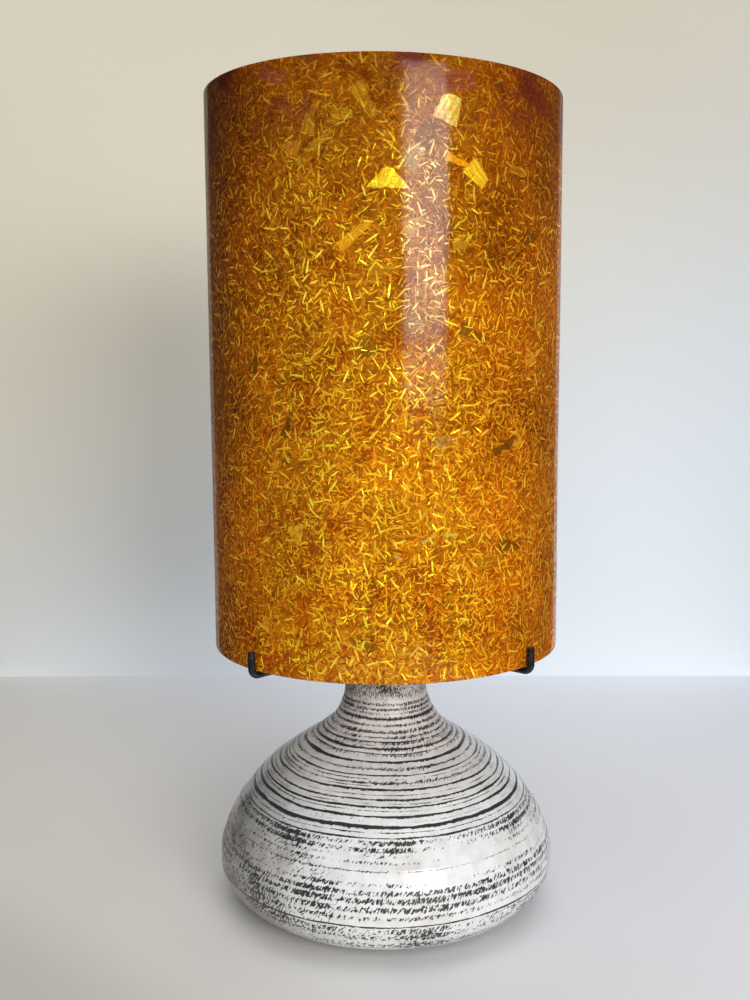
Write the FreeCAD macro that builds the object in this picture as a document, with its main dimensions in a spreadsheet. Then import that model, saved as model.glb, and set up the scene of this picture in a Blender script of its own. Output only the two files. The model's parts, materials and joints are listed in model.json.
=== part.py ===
# Ceramic table lamp: a thrown hollow base, four steel arms that hook under a resin drum
# shade, and a switched E27 lampholder with its bulb.
# Millimetres, +Z up, front toward -Y, origin at the centre of the face that rests on a table.
import FreeCAD, Part
import math
import os
import re
import Sketcher

sizes = {
    # thrown base, outside
    "felt_thick": 1.5,
    "felt_inner": 48,
    "felt_outer": 58,
    "foot_radius": 62,
    "foot_reach": 19.8,
    "belly_radius": 98.5,
    "belly_level": 30.2,
    "belly_drop": 16.6,
    "belly_rise": 26.4,
    "shoulder_radius": 63.2,
    "shoulder_level": 86.5,
    "shoulder_slope": 53.3,
    "shoulder_reach": 8.2,
    "throat_reach": 30.3,
    "neck_radius": 23.6,
    "neck_level": 138,
    "neck_drop": 31.1,
    "neck_top": 150,
    "lip_round": 1.6,
    # thrown base, inside
    "clay_thick": 6,
    "foot_inner": 46,
    "foot_lip": 7,
    "web_thick": 7,
    # cord inlet at the back
    "inlet_level": 26,
    "inlet_radius": 5,
    "inlet_face_depth": 2.2,
    "inlet_face_radius": 8,
    "grommet_bore": 3.5,
    "grommet_play": 0.1,
    "grommet_flange_radius": 7.4,
    "grommet_flange_thick": 1.6,
    "grommet_lip_radius": 6,
    "grommet_lip_thick": 1.4,
    "grommet_lip_gap": 1.4,
    # tube, nuts and washers
    "tube_radius": 5,
    "tube_bore": 3.8,
    "tube_play": 0.3,
    "thread_gap": 0.05,
    "tube_tail": 3,
    "tube_grip": 7,
    "washer_radius": 14,
    "washer_thick": 2,
    "nut_across": 17,
    "nut_thick": 4,
    "nut_bevel": 0.6,
    "gasket_radius": 20,
    "gasket_thick": 1,
    "neck_cap_thick": 1.2,
    "neck_cap_skirt": 4,
    "neck_cap_play": 0.5,
    # arms and hub
    "hub_radius": 15,
    "hub_thick": 6.2,
    "hub_bevel": 1,
    "arm_radius": 2,
    "arm_seat": 4,
    "arm_play": 0.05,
    "arm_left_turn": -43.7,
    "arm_right_turn": 49,
    "hook_bend": 4,
    "hook_gap": 0.6,
    "hook_rise": 10.7,
    # shade
    "shade_radius": 100,
    "shade_wall": 3,
    "shade_tall": 308,
    "shade_gap": 0.3,
    "shade_edge": 0.4,
    # lampholder shells
    "collar_radius": 8.5,
    "collar_tall": 5,
    "holder_radius": 20,
    "flare_top": 13,
    "flare_reach": 7,
    "flare_rise": 5,
    "holder_floor": 9,
    "holder_wall": 3.8,
    "seam_level": 22,
    "seam_gap": 0.3,
    "sleeve_wall": 1.8,
    "thread_play": 0.2,
    "insert_level": 31,
    "sleeve_tall": 40,
    "sleeve_mouth": 15,
    "lock_screw_radius": 1.5,
    "lock_screw_level": 2.5,
    "lock_screw_sunk": 0.3,
    # contact block and contacts
    "insert_thick": 12,
    "insert_well_radius": 10,
    "insert_well_deep": 3,
    "shell_radius": 13.9,
    "shell_wall": 0.5,
    "shell_flange": 0.6,
    "shell_tall": 15,
    "tongue_wide": 6,
    "tongue_thick": 0.6,
    "tongue_long": 14,
    "tongue_rise": 1.5,
    "tongue_foot": 5,
    "tongue_slant": 2,
    "tongue_tip": 5,
    "rivet_radius": 1.5,
    "rivet_out": 5,
    "rivet_head_radius": 2.4,
    "rivet_head_thick": 0.8,
    "strip_wide": 5,
    "strip_thick": 0.8,
    "strip_inset": 5.5,
    "strip_foot": 9,
    "terminal_out": 11.5,
    "screw_radius": 1.5,
    "screw_long": 7,
    "screw_head_radius": 2.4,
    "screw_head_thick": 1.8,
    # push bar of the switch
    "bar_level": 15.5,
    "bar_radius": 2,
    "bar_play": 0.08,
    "bar_travel": 6,
    "knob_radius": 3.6,
    "knob_long": 6,
    "knob_seat": 4,
    "knob_round": 1.5,
    "knob_gap": 0.3,
    "bridge_wide": 4,
    "bridge_half": 3,
    "bridge_span": 14,
    "contact_gap": 0.3,
    # bulb
    "bulb_gap": 0.3,
    "tip_radius": 4.6,
    "tip_thick": 1.2,
    "cap_radius": 13,
    "cap_wall": 0.4,
    "cap_bottom": 4.5,
    "cap_round": 2.5,
    "vitrite_tall": 2,
    "cap_tall": 27,
    "vitrite_radius": 10.5,
    "glass_neck_radius": 12.2,
    "glass_wall": 0.8,
    "glass_start": 18,
    "glass_radius": 30,
    "glass_widest": 76,
    "glass_neck_rise": 18,
    "glass_cheek": 26,
    "quarter_round": 0.5523,
    "stem_foot_tall": 2,
    "stem_rod_radius": 2,
    "stem_waist": 40,
    "stem_top": 66,
    "lead_radius": 0.4,
    "lead_spread": 8,
    "lead_gap": 0.1,
    "filament_level": 72,
    "filament_radius": 0.5,
    "filament_sag": 3,
}

doc = FreeCAD.newDocument("table_lamp")
sheet = doc.addObject("Spreadsheet::Sheet", "size")
for row, (alias, number) in enumerate(sizes.items(), start=1):
    sheet.set(f"A{row}", alias)
    sheet.set(f"B{row}", str(number))
    sheet.setAlias(f"B{row}", alias)
doc.recompute()

# heights of the stack on the neck, each from the one below it
gasketTop = "neck_top + gasket_thick"
neckCapTop = f"{gasketTop} + neck_cap_thick"
armLevel = f"{neckCapTop} + hub_thick / 2"
shadeLevel = f"{armLevel} + arm_radius + shade_gap"
hubTop = f"{neckCapTop} + hub_thick"
holderLevel = f"{hubTop} + nut_thick"
insertTop = "insert_level + insert_thick"
bulbLevel = f"{holderLevel} + {insertTop} + tongue_rise + bulb_gap"

# radius of the plain holes that the tube passes through
tubeHole = "tube_radius + tube_play"

# distance of the flat around the cord inlet from the lamp's axis
inletFace = "belly_radius - inlet_face_depth"

# radii inside the lampholder
threadBore = "tube_radius + thread_gap"
sleeveInner = "holder_radius - sleeve_wall"
insertOuter = f"{sleeveInner} - thread_play"
spigotInner = "holder_radius - holder_wall"

pieces = []
cuts = []


def tied(text):
    """Points each size's name in an expression at its cell."""
    return re.sub(r"[a-z][a-z_]*", lambda word: f"size.{word[0]}" if word[0] in sizes else word[0], text)


def bind(item, **formulas):
    for path, text in formulas.items():
        item.setExpression(path.replace("__", "."), tied(text))
    return item


def keep(item, label, level=None, turn=None):
    """Names a finished sub-part and ties its height and its turn about Z."""
    item.Label = label
    if level:
        item.setExpression("Placement.Base.z", tied(level))
    if turn:
        item.setExpression("Placement.Rotation.Angle", f"({tied(turn)}) * 1 deg")
    pieces.append(item)
    return item


def newSketch(body, name, plane="XZ_Plane", offset=None):
    sketch = body.newObject("Sketcher::SketchObject", name)
    origin = next(item for item in body.Origin.OriginFeatures if item.Role == plane)
    sketch.AttachmentSupport = [(origin, "")]
    sketch.MapMode = "FlatFace"
    if offset:
        sketch.setExpression("AttachmentOffset.Base.z", tied(offset))
    return sketch


def dimension(sketch, geometry, end, across, up):
    """Ties one point of a sketch to its distances from the origin."""
    for kind, text in (("DistanceX", across), ("DistanceY", up)):
        number = sketch.addConstraint(Sketcher.Constraint(kind, -1, 1, geometry, end, 1.0))
        sketch.setExpression(f"Constraints[{number}]", tied(text))


def rough(step):
    """A rough place for a corner before it is dimensioned."""
    return FreeCAD.Vector(40 + 3 * step, 10 + step * step, 0)


def outline(sketch, corners):
    """Draws a closed outline. A corner is (across, up); four more texts before these are the
    two control points of the curve that leads to it."""
    drawn = []
    for step, corner in enumerate(corners):
        start = rough(step - 1)
        end = rough(step)
        if len(corner) == 2:
            drawn.append(sketch.addGeometry(Part.LineSegment(start, end)))
            continue
        poles = [start, start * 0.7 + end * 0.3, start * 0.3 + end * 0.7, end]
        curve = Part.BSplineCurve()
        curve.buildFromPolesMultsKnots(poles, (4, 4), (0, 1), False, 3)
        drawn.append(sketch.addGeometry(curve))
        sketch.exposeInternalGeometry(drawn[-1])
        dimension(sketch, drawn[-1] + 2, 3, corner[0], corner[1])
        dimension(sketch, drawn[-1] + 3, 3, corner[2], corner[3])
    for step, corner in enumerate(corners):
        following = drawn[(step + 1) % len(drawn)]
        sketch.addConstraint(Sketcher.Constraint("Coincident", drawn[step], 2, following, 1))
        dimension(sketch, drawn[step], 2, corner[-2], corner[-1])


def revolve(body, corners):
    """Adds a full turn of an outline about the vertical axis of the body."""
    sketch = newSketch(body, f"{body.Name}_outline")
    outline(sketch, corners)
    solid = body.newObject("PartDesign::Revolution", f"{body.Name}_turned")
    solid.Profile = sketch
    solid.ReferenceAxis = (sketch, ["V_Axis"])
    solid.Angle = 360
    return solid


def turned(label, corners, level=None):
    body = doc.addObject("PartDesign::Body", label)
    revolve(body, corners)
    return keep(body, label, level)


def ring(label, inner, outer, thick, level):
    return turned(label, [(inner, "0"), (outer, "0"), (outer, thick), (inner, thick)], level)


def bore(body, name, plane, across, up, radius, length=None, offset=None, upward=False, turn=None):
    """Drills a round hole: through both ways, or one way to a depth."""
    sketch = newSketch(body, f"{name}_sketch", plane, offset)
    if turn:
        upright = FreeCAD.Vector(0, 1, 0)
        sketch.AttachmentOffset = FreeCAD.Placement(FreeCAD.Vector(), FreeCAD.Rotation(upright, 1))
        sketch.setExpression("AttachmentOffset.Rotation.Angle", f"({tied(turn)}) * 1 deg")
    circle = sketch.addGeometry(Part.Circle(FreeCAD.Vector(0, 0, 0), FreeCAD.Vector(0, 0, 1), 2))
    dimension(sketch, circle, 3, across, up)
    number = sketch.addConstraint(Sketcher.Constraint("Radius", circle, 2.0))
    sketch.setExpression(f"Constraints[{number}]", tied(radius))
    before = body.Tip
    pocket = body.newObject("PartDesign::Pocket", name)
    pocket.Profile = sketch
    pocket.Reversed = upward
    if length:
        bind(pocket, Length=length)
    else:
        pocket.Type = "ThroughAll"
        pocket.Midplane = True
    cuts.append((before, pocket))
    return pocket


def bar(label, radius, length):
    item = doc.addObject("Part::Cylinder", label)
    return bind(item, Radius=radius, Height=length)


def wire(body, path, plane, offset, centre, radius):
    """Runs a round section along a path from the plane where it starts."""
    section = newSketch(body, f"{body.Name}_section", plane, offset)
    circle = section.addGeometry(Part.Circle(FreeCAD.Vector(0, 0, 0), FreeCAD.Vector(0, 0, 1), 1))
    dimension(section, circle, 3, *centre)
    number = section.addConstraint(Sketcher.Constraint("Radius", circle, 1.0))
    section.setExpression(f"Constraints[{number}]", tied(radius))
    rod = body.newObject("PartDesign::AdditivePipe", f"{body.Name}_rod")
    rod.Profile = section
    rod.Spine = path
    return rod


def hexNut(label, level):
    """A hexagon with its corners turned off and a bore for the tube."""
    body = doc.addObject("PartDesign::Body", label)
    corner = "nut_across / 2 / cos(30)"
    low = "nut_bevel"
    high = "nut_thick - nut_bevel"
    flat = "nut_across / 2"
    revolve(body, [(threadBore, "0"), (flat, "0"), (corner, low), (corner, high),
                   (flat, "nut_thick"), (threadBore, "nut_thick")])
    sketch = newSketch(body, f"{label}_flats_sketch", "XY_Plane")
    outer = f"2 * ({corner})"
    outline(sketch, [(flat, f"-{outer}"), (outer, f"-{outer}"), (outer, outer), (flat, outer)])
    before = body.Tip
    flatCut = body.newObject("PartDesign::Pocket", f"{label}_flat")
    flatCut.Profile = sketch
    flatCut.Type = "ThroughAll"
    flatCut.Midplane = True
    cuts.append((before, flatCut))
    flats = body.newObject("PartDesign::PolarPattern", f"{label}_flats")
    flats.Originals = [flatCut]
    flats.Axis = (sketch, ["N_Axis"])
    flats.Angle = 360
    flats.Occurrences = 6
    body.Tip = flats
    return keep(body, label, level)


def ceramicBase():
    """The thrown body: an outside and an inside outline, then the inlet at the back."""
    body = doc.addObject("PartDesign::Body", "ceramic_base")
    leanX = "sin(shoulder_slope)"
    leanZ = "cos(shoulder_slope)"
    innerShoulderX = f"shoulder_radius - clay_thick * {leanZ}"
    innerShoulderZ = f"shoulder_level - clay_thick * {leanX}"
    innerBelly = "belly_radius - clay_thick"
    innerNeck = "neck_radius - clay_thick"
    webUnder = "neck_top - web_thick"
    hole = tubeHole
    foot = "felt_thick"
    lip = "felt_thick + foot_lip"
    revolve(body, [
        (hole, webUnder),
        (innerNeck, webUnder),
        (innerNeck, "neck_level"),
        (innerNeck, "neck_level - neck_drop",
         f"{innerShoulderX} - throat_reach * {leanX}", f"{innerShoulderZ} + throat_reach * {leanZ}",
         innerShoulderX, innerShoulderZ),
        (f"{innerShoulderX} + shoulder_reach * {leanX}", f"{innerShoulderZ} - shoulder_reach * {leanZ}",
         innerBelly, "belly_level + belly_rise",
         innerBelly, "belly_level"),
        (innerBelly, "belly_level - belly_drop + clay_thick / 2",
         "foot_inner + foot_reach", lip,
         "foot_inner", lip),
        ("foot_inner", foot),
        ("foot_radius", foot),
        ("foot_radius + foot_reach", foot,
         "belly_radius", "belly_level - belly_drop",
         "belly_radius", "belly_level"),
        ("belly_radius", "belly_level + belly_rise",
         f"shoulder_radius + shoulder_reach * {leanX}", f"shoulder_level - shoulder_reach * {leanZ}",
         "shoulder_radius", "shoulder_level"),
        (f"shoulder_radius - throat_reach * {leanX}", f"shoulder_level + throat_reach * {leanZ}",
         "neck_radius", "neck_level - neck_drop",
         "neck_radius", "neck_level"),
        ("neck_radius", "neck_top - lip_round"),
        ("neck_radius", "neck_top - lip_round / 2",
         "neck_radius - lip_round / 2", "neck_top",
         "neck_radius - lip_round", "neck_top"),
        (hole, "neck_top"),
    ])
    bore(body, "inlet_hole", "XZ_Plane", "0", "inlet_level", "inlet_radius", "belly_radius * 2")
    bore(body, "inlet_face", "XZ_Plane", "0", "inlet_level", "inlet_face_radius",
         "belly_radius", f"-({inletFace})")
    return keep(body, "ceramic_base")


def cableGrommet():
    """A bush through the wall: flange on the flat outside, lip against the inside."""
    wallInside = "belly_radius - clay_thick"
    neck = "inlet_radius - grommet_play"
    inside = f"{wallInside} - {inletFace} - grommet_lip_gap"
    item = turned("cable_grommet", [
        ("grommet_bore", f"{inside} - grommet_lip_thick"),
        ("grommet_lip_radius", f"{inside} - grommet_lip_thick"),
        ("grommet_lip_radius", inside),
        (neck, inside),
        (neck, "0"),
        ("grommet_flange_radius", "0"),
        ("grommet_flange_radius", "grommet_flange_thick / 2"),
        ("grommet_flange_radius", "grommet_flange_thick",
         "grommet_flange_radius - grommet_flange_thick / 2", "grommet_flange_thick",
         "grommet_flange_radius - grommet_flange_thick", "grommet_flange_thick"),
        ("grommet_bore", "grommet_flange_thick"),
    ])
    item.Placement.Rotation = FreeCAD.Rotation(FreeCAD.Vector(1, 0, 0), -90)
    return bind(item, Placement__Base__y=inletFace, Placement__Base__z="inlet_level")


def neckStack():
    """What the tube clamps to the neck, from the nut inside it to the cap above it."""
    washerLevel = "neck_top - web_thick - washer_thick"
    tubeLevel = f"{washerLevel} - nut_thick - tube_tail"
    ring("foot_felt", "felt_inner", "felt_outer", "felt_thick", "0")
    ring("lower_washer", tubeHole, "washer_radius", "washer_thick", washerLevel)
    hexNut("lower_nut", f"{washerLevel} - nut_thick")
    ring("threaded_tube", "tube_bore", "tube_radius", f"{holderLevel} + tube_grip - ({tubeLevel})", tubeLevel)
    ring("neck_gasket", tubeHole, "gasket_radius", "gasket_thick", "neck_top")
    skirtInner = "neck_radius + neck_cap_play"
    skirtOuter = f"{skirtInner} + neck_cap_thick"
    turned("neck_cap", [
        (tubeHole, "0"),
        (skirtInner, "0"),
        (skirtInner, "-neck_cap_skirt"),
        (skirtOuter, "-neck_cap_skirt"),
        (skirtOuter, "0"),
        (skirtOuter, "neck_cap_thick / 2", f"{skirtOuter} - neck_cap_thick / 2", "neck_cap_thick",
         f"{skirtOuter} - neck_cap_thick", "neck_cap_thick"),
        (tubeHole, "neck_cap_thick"),
    ], gasketTop)
    hexNut("upper_nut", hubTop)


def armHub():
    """A turned boss with a socket for each of the four arms."""
    body = doc.addObject("PartDesign::Body", "arm_hub")
    revolve(body, [
        (tubeHole, "0"),
        ("hub_radius", "0"),
        ("hub_radius", "hub_thick - hub_bevel"),
        ("hub_radius - hub_bevel", "hub_thick"),
        (tubeHole, "hub_thick"),
    ])
    for side in ("left", "right"):
        bore(body, f"hub_hole_{side}", "YZ_Plane", "0", "hub_thick / 2", "arm_radius + arm_play",
             turn=f"arm_{side}_turn + 90")
    return keep(body, "arm_hub", neckCapTop)


def arms():
    """Four rods, each set in the hub, run out under the shade's edge and bent up outside it."""
    lines = {"left": "arm_left_turn", "right": "arm_right_turn"}
    # an arm's body lies along +X, so the front is a quarter turn back
    places = {
        "arm_front_left": f"{lines['left']} - 90",
        "arm_front_right": f"{lines['right']} - 90",
        "arm_back_left": f"{lines['right']} + 90",
        "arm_back_right": f"{lines['left']} + 90",
    }
    upright = "shade_radius + hook_gap + arm_radius"
    for label, place in places.items():
        body = doc.addObject("PartDesign::Body", label)
        path = newSketch(body, f"{label}_path")
        # a first guess at each end, which the dimensions below then set
        start = FreeCAD.Vector(10, 0, 0)
        turn = FreeCAD.Vector(90, 0, 0)
        middle = FreeCAD.Vector(90, 10, 0)
        side = FreeCAD.Vector(100, 10, 0)
        end = FreeCAD.Vector(100, 20, 0)
        run = path.addGeometry(Part.LineSegment(start, turn))
        corner = Part.Circle(middle, FreeCAD.Vector(0, 0, 1), 10)
        bend = path.addGeometry(Part.ArcOfCircle(corner, -math.pi / 2, 0))
        rise = path.addGeometry(Part.LineSegment(side, end))
        path.addConstraint(Sketcher.Constraint("Tangent", run, 2, bend, 1))
        path.addConstraint(Sketcher.Constraint("Coincident", bend, 2, rise, 1))
        dimension(path, run, 1, "hub_radius - arm_seat", "0")
        dimension(path, run, 2, f"{upright} - hook_bend", "0")
        dimension(path, rise, 1, upright, "hook_bend")
        dimension(path, rise, 2, upright, "arm_radius + shade_gap + hook_rise")
        wire(body, path, "YZ_Plane", "hub_radius - arm_seat", ("0", "0"), "arm_radius")
        keep(body, label, armLevel, place)


def shade():
    """An open resin cylinder with its edges just broken."""
    inner = "shade_radius - shade_wall"
    top = "shade_tall"
    turned("shade", [
        (inner, "shade_edge"),
        (f"{inner} + shade_edge", "0"),
        ("shade_radius - shade_edge", "0"),
        ("shade_radius", "shade_edge"),
        ("shade_radius", f"{top} - shade_edge"),
        ("shade_radius - shade_edge", top),
        (f"{inner} + shade_edge", top),
        (inner, f"{top} - shade_edge"),
    ], shadeLevel)


def holderShells():
    """The flared lower cap on the tube, and the sleeve that screws over it."""
    body = doc.addObject("PartDesign::Body", "holder_cap")
    revolve(body, [
        (threadBore, "0"),
        ("collar_radius", "0"),
        ("collar_radius", "collar_tall"),
        ("collar_radius + flare_reach", "collar_tall",
         "holder_radius", "flare_top - flare_rise",
         "holder_radius", "flare_top"),
        ("holder_radius", "seam_level"),
        (insertOuter, "seam_level"),
        (insertOuter, "insert_level"),
        (spigotInner, "insert_level"),
        (spigotInner, "flare_top + flare_rise / 2"),
        (spigotInner, "flare_top - flare_rise / 2",
         "collar_radius + flare_reach", "holder_floor",
         "collar_radius", "holder_floor"),
        (threadBore, "holder_floor"),
    ])
    bore(body, "bar_hole", "YZ_Plane", "0", "bar_level", "bar_radius + bar_play")
    bore(body, "lock_screw_hole", "XZ_Plane", "0", "lock_screw_level", "lock_screw_radius", "holder_radius")
    keep(body, "holder_cap", holderLevel)

    clamp = f"{insertTop} + shell_flange"
    top = "seam_level + sleeve_tall"
    turned("holder_sleeve", [
        (sleeveInner, "seam_level + seam_gap"),
        ("holder_radius", "seam_level + seam_gap"),
        ("holder_radius", f"{top} - lip_round"),
        ("holder_radius", f"{top} - lip_round / 2",
         "holder_radius - lip_round / 2", top,
         "holder_radius - lip_round", top),
        ("sleeve_mouth", top),
        ("sleeve_mouth", clamp),
        (sleeveInner, clamp),
    ], holderLevel)

    start = "tube_radius + thread_gap"
    screw = bar("holder_lock_screw", "lock_screw_radius - thread_gap",
                f"collar_radius - lock_screw_sunk - ({start})")
    screw.Placement.Rotation = FreeCAD.Rotation(FreeCAD.Vector(1, 0, 0), -90)
    bind(screw, Placement__Base__y=start)
    keep(screw, "holder_lock_screw", f"{holderLevel} + lock_screw_level")


def strip(label, plane, corners, wide):
    """A bent strip: its side outline, drawn out to its width about the middle."""
    body = doc.addObject("PartDesign::Body", label)
    sketch = newSketch(body, f"{label}_outline", plane)
    outline(sketch, corners)
    solid = body.newObject("PartDesign::Pad", f"{label}_pad")
    solid.Profile = sketch
    solid.Midplane = True
    bind(solid, Length=wide)
    return body


def contactBlock():
    """The porcelain block with the parts fixed to it: shell, centre tongue and its rivet."""
    body = doc.addObject("PartDesign::Body", "holder_insert")
    wellFloor = f"{insertTop} - insert_well_deep"
    revolve(body, [
        ("0", "insert_level"),
        (insertOuter, "insert_level"),
        (insertOuter, insertTop),
        ("insert_well_radius", insertTop),
        ("insert_well_radius", wellFloor),
        ("0", wellFloor),
    ])
    bore(body, "rivet_hole", "XY_Plane", "-rivet_out", "0", "rivet_radius + thread_gap")
    for side, place in (("front", "-terminal_out"), ("back", "terminal_out")):
        bore(body, f"terminal_hole_{side}", "XY_Plane", "0", place, "screw_radius",
             "screw_long", "insert_level", upward=True)
    keep(body, "holder_insert", holderLevel)

    shellInner = "shell_radius - shell_wall"
    flange = f"{insertTop} + shell_flange"
    shellTop = f"{insertTop} + shell_tall"
    turned("screw_shell", [
        (shellInner, insertTop), (insertOuter, insertTop), (insertOuter, flange),
        ("shell_radius", flange), ("shell_radius", shellTop), (shellInner, shellTop),
    ], holderLevel)

    rise = "insert_well_deep + tongue_rise"
    tongue = strip("centre_contact", "XZ_Plane", [
        ("-tongue_long / 2", "0"),
        ("tongue_foot - tongue_long / 2", "0"),
        ("tongue_foot + tongue_slant - tongue_long / 2", f"{rise} - tongue_thick"),
        ("tongue_tip", f"{rise} - tongue_thick"),
        ("tongue_tip", rise),
        ("tongue_foot + tongue_slant - tongue_long / 2 - tongue_thick", rise),
        ("tongue_foot - tongue_long / 2 - tongue_thick", "tongue_thick"),
        ("-tongue_long / 2", "tongue_thick"),
    ], "tongue_wide")
    bore(tongue, "tongue_hole", "XY_Plane", "-rivet_out", "0", "rivet_radius + thread_gap")
    keep(tongue, "centre_contact", f"{holderLevel} + {wellFloor}")

    rivetTop = "insert_thick - insert_well_deep + tongue_thick"
    rivet = turned("centre_rivet", [
        ("0", "-rivet_head_thick"),
        ("rivet_head_radius", "-rivet_head_thick"),
        ("rivet_head_radius", "0"),
        ("rivet_radius", "0"),
        ("rivet_radius", rivetTop),
        ("rivet_head_radius", rivetTop),
        ("rivet_radius", f"{rivetTop} + rivet_head_thick"),
        ("0", f"{rivetTop} + rivet_head_thick"),
    ], f"{holderLevel} + insert_level")
    bind(rivet, Placement__Base__x="-rivet_out")


def switchContacts():
    """Two fixed strips under the block, each held by its terminal screw."""
    contact = "bar_level + bridge_half + strip_thick + contact_gap"
    foot = "strip_inset + strip_foot"
    for label, half in (("contact_strip_front", "180"), ("contact_strip_back", None)):
        body = strip(label, "YZ_Plane", [
            ("strip_inset", contact),
            ("strip_inset + strip_thick", contact),
            ("strip_inset + strip_thick", "insert_level - strip_thick"),
            (foot, "insert_level - strip_thick"),
            (foot, "insert_level"),
            ("strip_inset", "insert_level"),
        ], "strip_wide")
        bore(body, f"{label}_hole", "XY_Plane", "0", "terminal_out", "screw_radius")
        keep(body, label, holderLevel, half)

    shank = "screw_radius - thread_gap"
    screw = doc.addObject("PartDesign::Body", "terminal_screw")
    revolve(screw, [
        ("0", "-screw_head_thick"), ("screw_head_radius", "-screw_head_thick"), ("screw_head_radius", "0"),
        (shank, "0"), (shank, "screw_long"), ("0", "screw_long"),
    ])
    bind(screw, Placement__Base__y="terminal_out",
         Placement__Base__z=f"{holderLevel} + insert_level - strip_thick")
    pairUp("terminal_screws", screw, FreeCAD.Vector(0, 1, 0))


def pairUp(label, item, normal):
    """Groups a piece with its mirror image across a plane through the lamp's axis."""
    mirrored = doc.addObject("Part::Mirroring", f"{label}_mirrored")
    mirrored.Source = item
    mirrored.Normal = normal
    pair = doc.addObject("Part::Compound", label)
    pair.Links = [item, mirrored]
    return keep(pair, label)


def pushSwitch():
    """The bar through the lampholder with a knob at each end and the contact it carries."""
    level = f"{holderLevel} + bar_level"
    leftFace = "holder_radius + knob_gap"
    rightFace = "holder_radius + knob_gap + bar_travel"
    rod = bar("switch_bar", "bar_radius", f"{leftFace} + {rightFace} + 2 * knob_seat")
    rod.Placement.Rotation = FreeCAD.Rotation(FreeCAD.Vector(0, 1, 0), 90)
    bind(rod, Placement__Base__x=f"-({leftFace} + knob_seat)")
    keep(rod, "switch_bar", level)
    hole = "bar_radius + thread_gap"
    for label, angle, face in (("bar_knob_left", -90, f"-({leftFace})"), ("bar_knob_right", 90, rightFace)):
        knob = turned(label, [
            (hole, "0"),
            ("knob_radius", "0"),
            ("knob_radius", "knob_long - knob_round"),
            ("knob_radius", "knob_long - knob_round / 2",
             "knob_radius - knob_round / 2", "knob_long",
             "knob_radius - knob_round", "knob_long"),
            ("0", "knob_long"),
            ("0", "knob_seat"),
            (hole, "knob_seat"),
        ], level)
        knob.Placement.Rotation = FreeCAD.Rotation(FreeCAD.Vector(0, 1, 0), angle)
        bind(knob, Placement__Base__x=face)
    plate = "bridge_half + strip_thick"
    bridge = strip("switch_bridge", "YZ_Plane", [
        ("-bridge_half", "-bridge_half"), ("bridge_half", "-bridge_half"), ("bridge_half", "bridge_half"),
        ("bridge_span / 2", "bridge_half"), ("bridge_span / 2", plate),
        ("-bridge_span / 2", plate), ("-bridge_span / 2", "bridge_half"), ("-bridge_half", "bridge_half"),
    ], "bridge_wide")
    bore(bridge, "bridge_hole", "YZ_Plane", "0", "0", hole)
    keep(bridge, "switch_bridge", level)


def bulb():
    """An E27 bulb: contact tip, glassy insulator, screw cap, glass and what it holds."""
    turned("bulb_tip", [
        ("0", "0"), ("tip_radius - tip_thick", "0"), ("tip_radius", "tip_thick"), ("0", "tip_thick"),
    ], bulbLevel)
    vitrite = "vitrite_radius - thread_gap"
    turned("bulb_insulator", [
        ("0", "tip_thick"), ("tip_radius", "tip_thick"), (vitrite, "cap_bottom"),
        (vitrite, "cap_bottom + vitrite_tall"), ("0", "cap_bottom + vitrite_tall"),
    ], bulbLevel)
    turned("bulb_cap", [
        ("vitrite_radius", "cap_bottom"),
        ("cap_radius", "cap_bottom + cap_round"),
        ("cap_radius", "cap_tall"),
        ("cap_radius - cap_wall", "cap_tall"),
        ("cap_radius - cap_wall", "cap_bottom + cap_round"),
        ("vitrite_radius", "cap_bottom + cap_wall"),
    ], bulbLevel)
    inner = "glass_radius - glass_wall"
    neckInner = "glass_neck_radius - glass_wall"
    top = "glass_widest + glass_radius"
    turned("bulb_glass", [
        (neckInner, "glass_start"),
        ("glass_neck_radius", "glass_start"),
        ("glass_neck_radius", "cap_tall"),
        ("glass_neck_radius", "cap_tall + glass_neck_rise",
         "glass_radius", "glass_widest - glass_cheek",
         "glass_radius", "glass_widest"),
        ("glass_radius", "glass_widest + glass_radius * quarter_round",
         "glass_radius * quarter_round", top,
         "0", top),
        ("0", f"{top} - glass_wall"),
        (f"({inner}) * quarter_round", f"{top} - glass_wall",
         inner, f"glass_widest + ({inner}) * quarter_round",
         inner, "glass_widest"),
        (inner, "glass_widest - glass_cheek",
         neckInner, "cap_tall + glass_neck_rise",
         neckInner, "cap_tall"),
    ], bulbLevel)
    stemFoot = f"{neckInner} - thread_gap"
    turned("bulb_stem", [
        ("0", "glass_start"),
        (stemFoot, "glass_start"),
        (stemFoot, "glass_start + stem_foot_tall"),
        ("stem_rod_radius", "glass_start + stem_foot_tall",
         "stem_rod_radius", "stem_waist",
         "stem_rod_radius", "stem_waist"),
        ("stem_rod_radius", "stem_top"),
        ("0", "stem_top"),
    ], bulbLevel)
    bulbWires()


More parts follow.
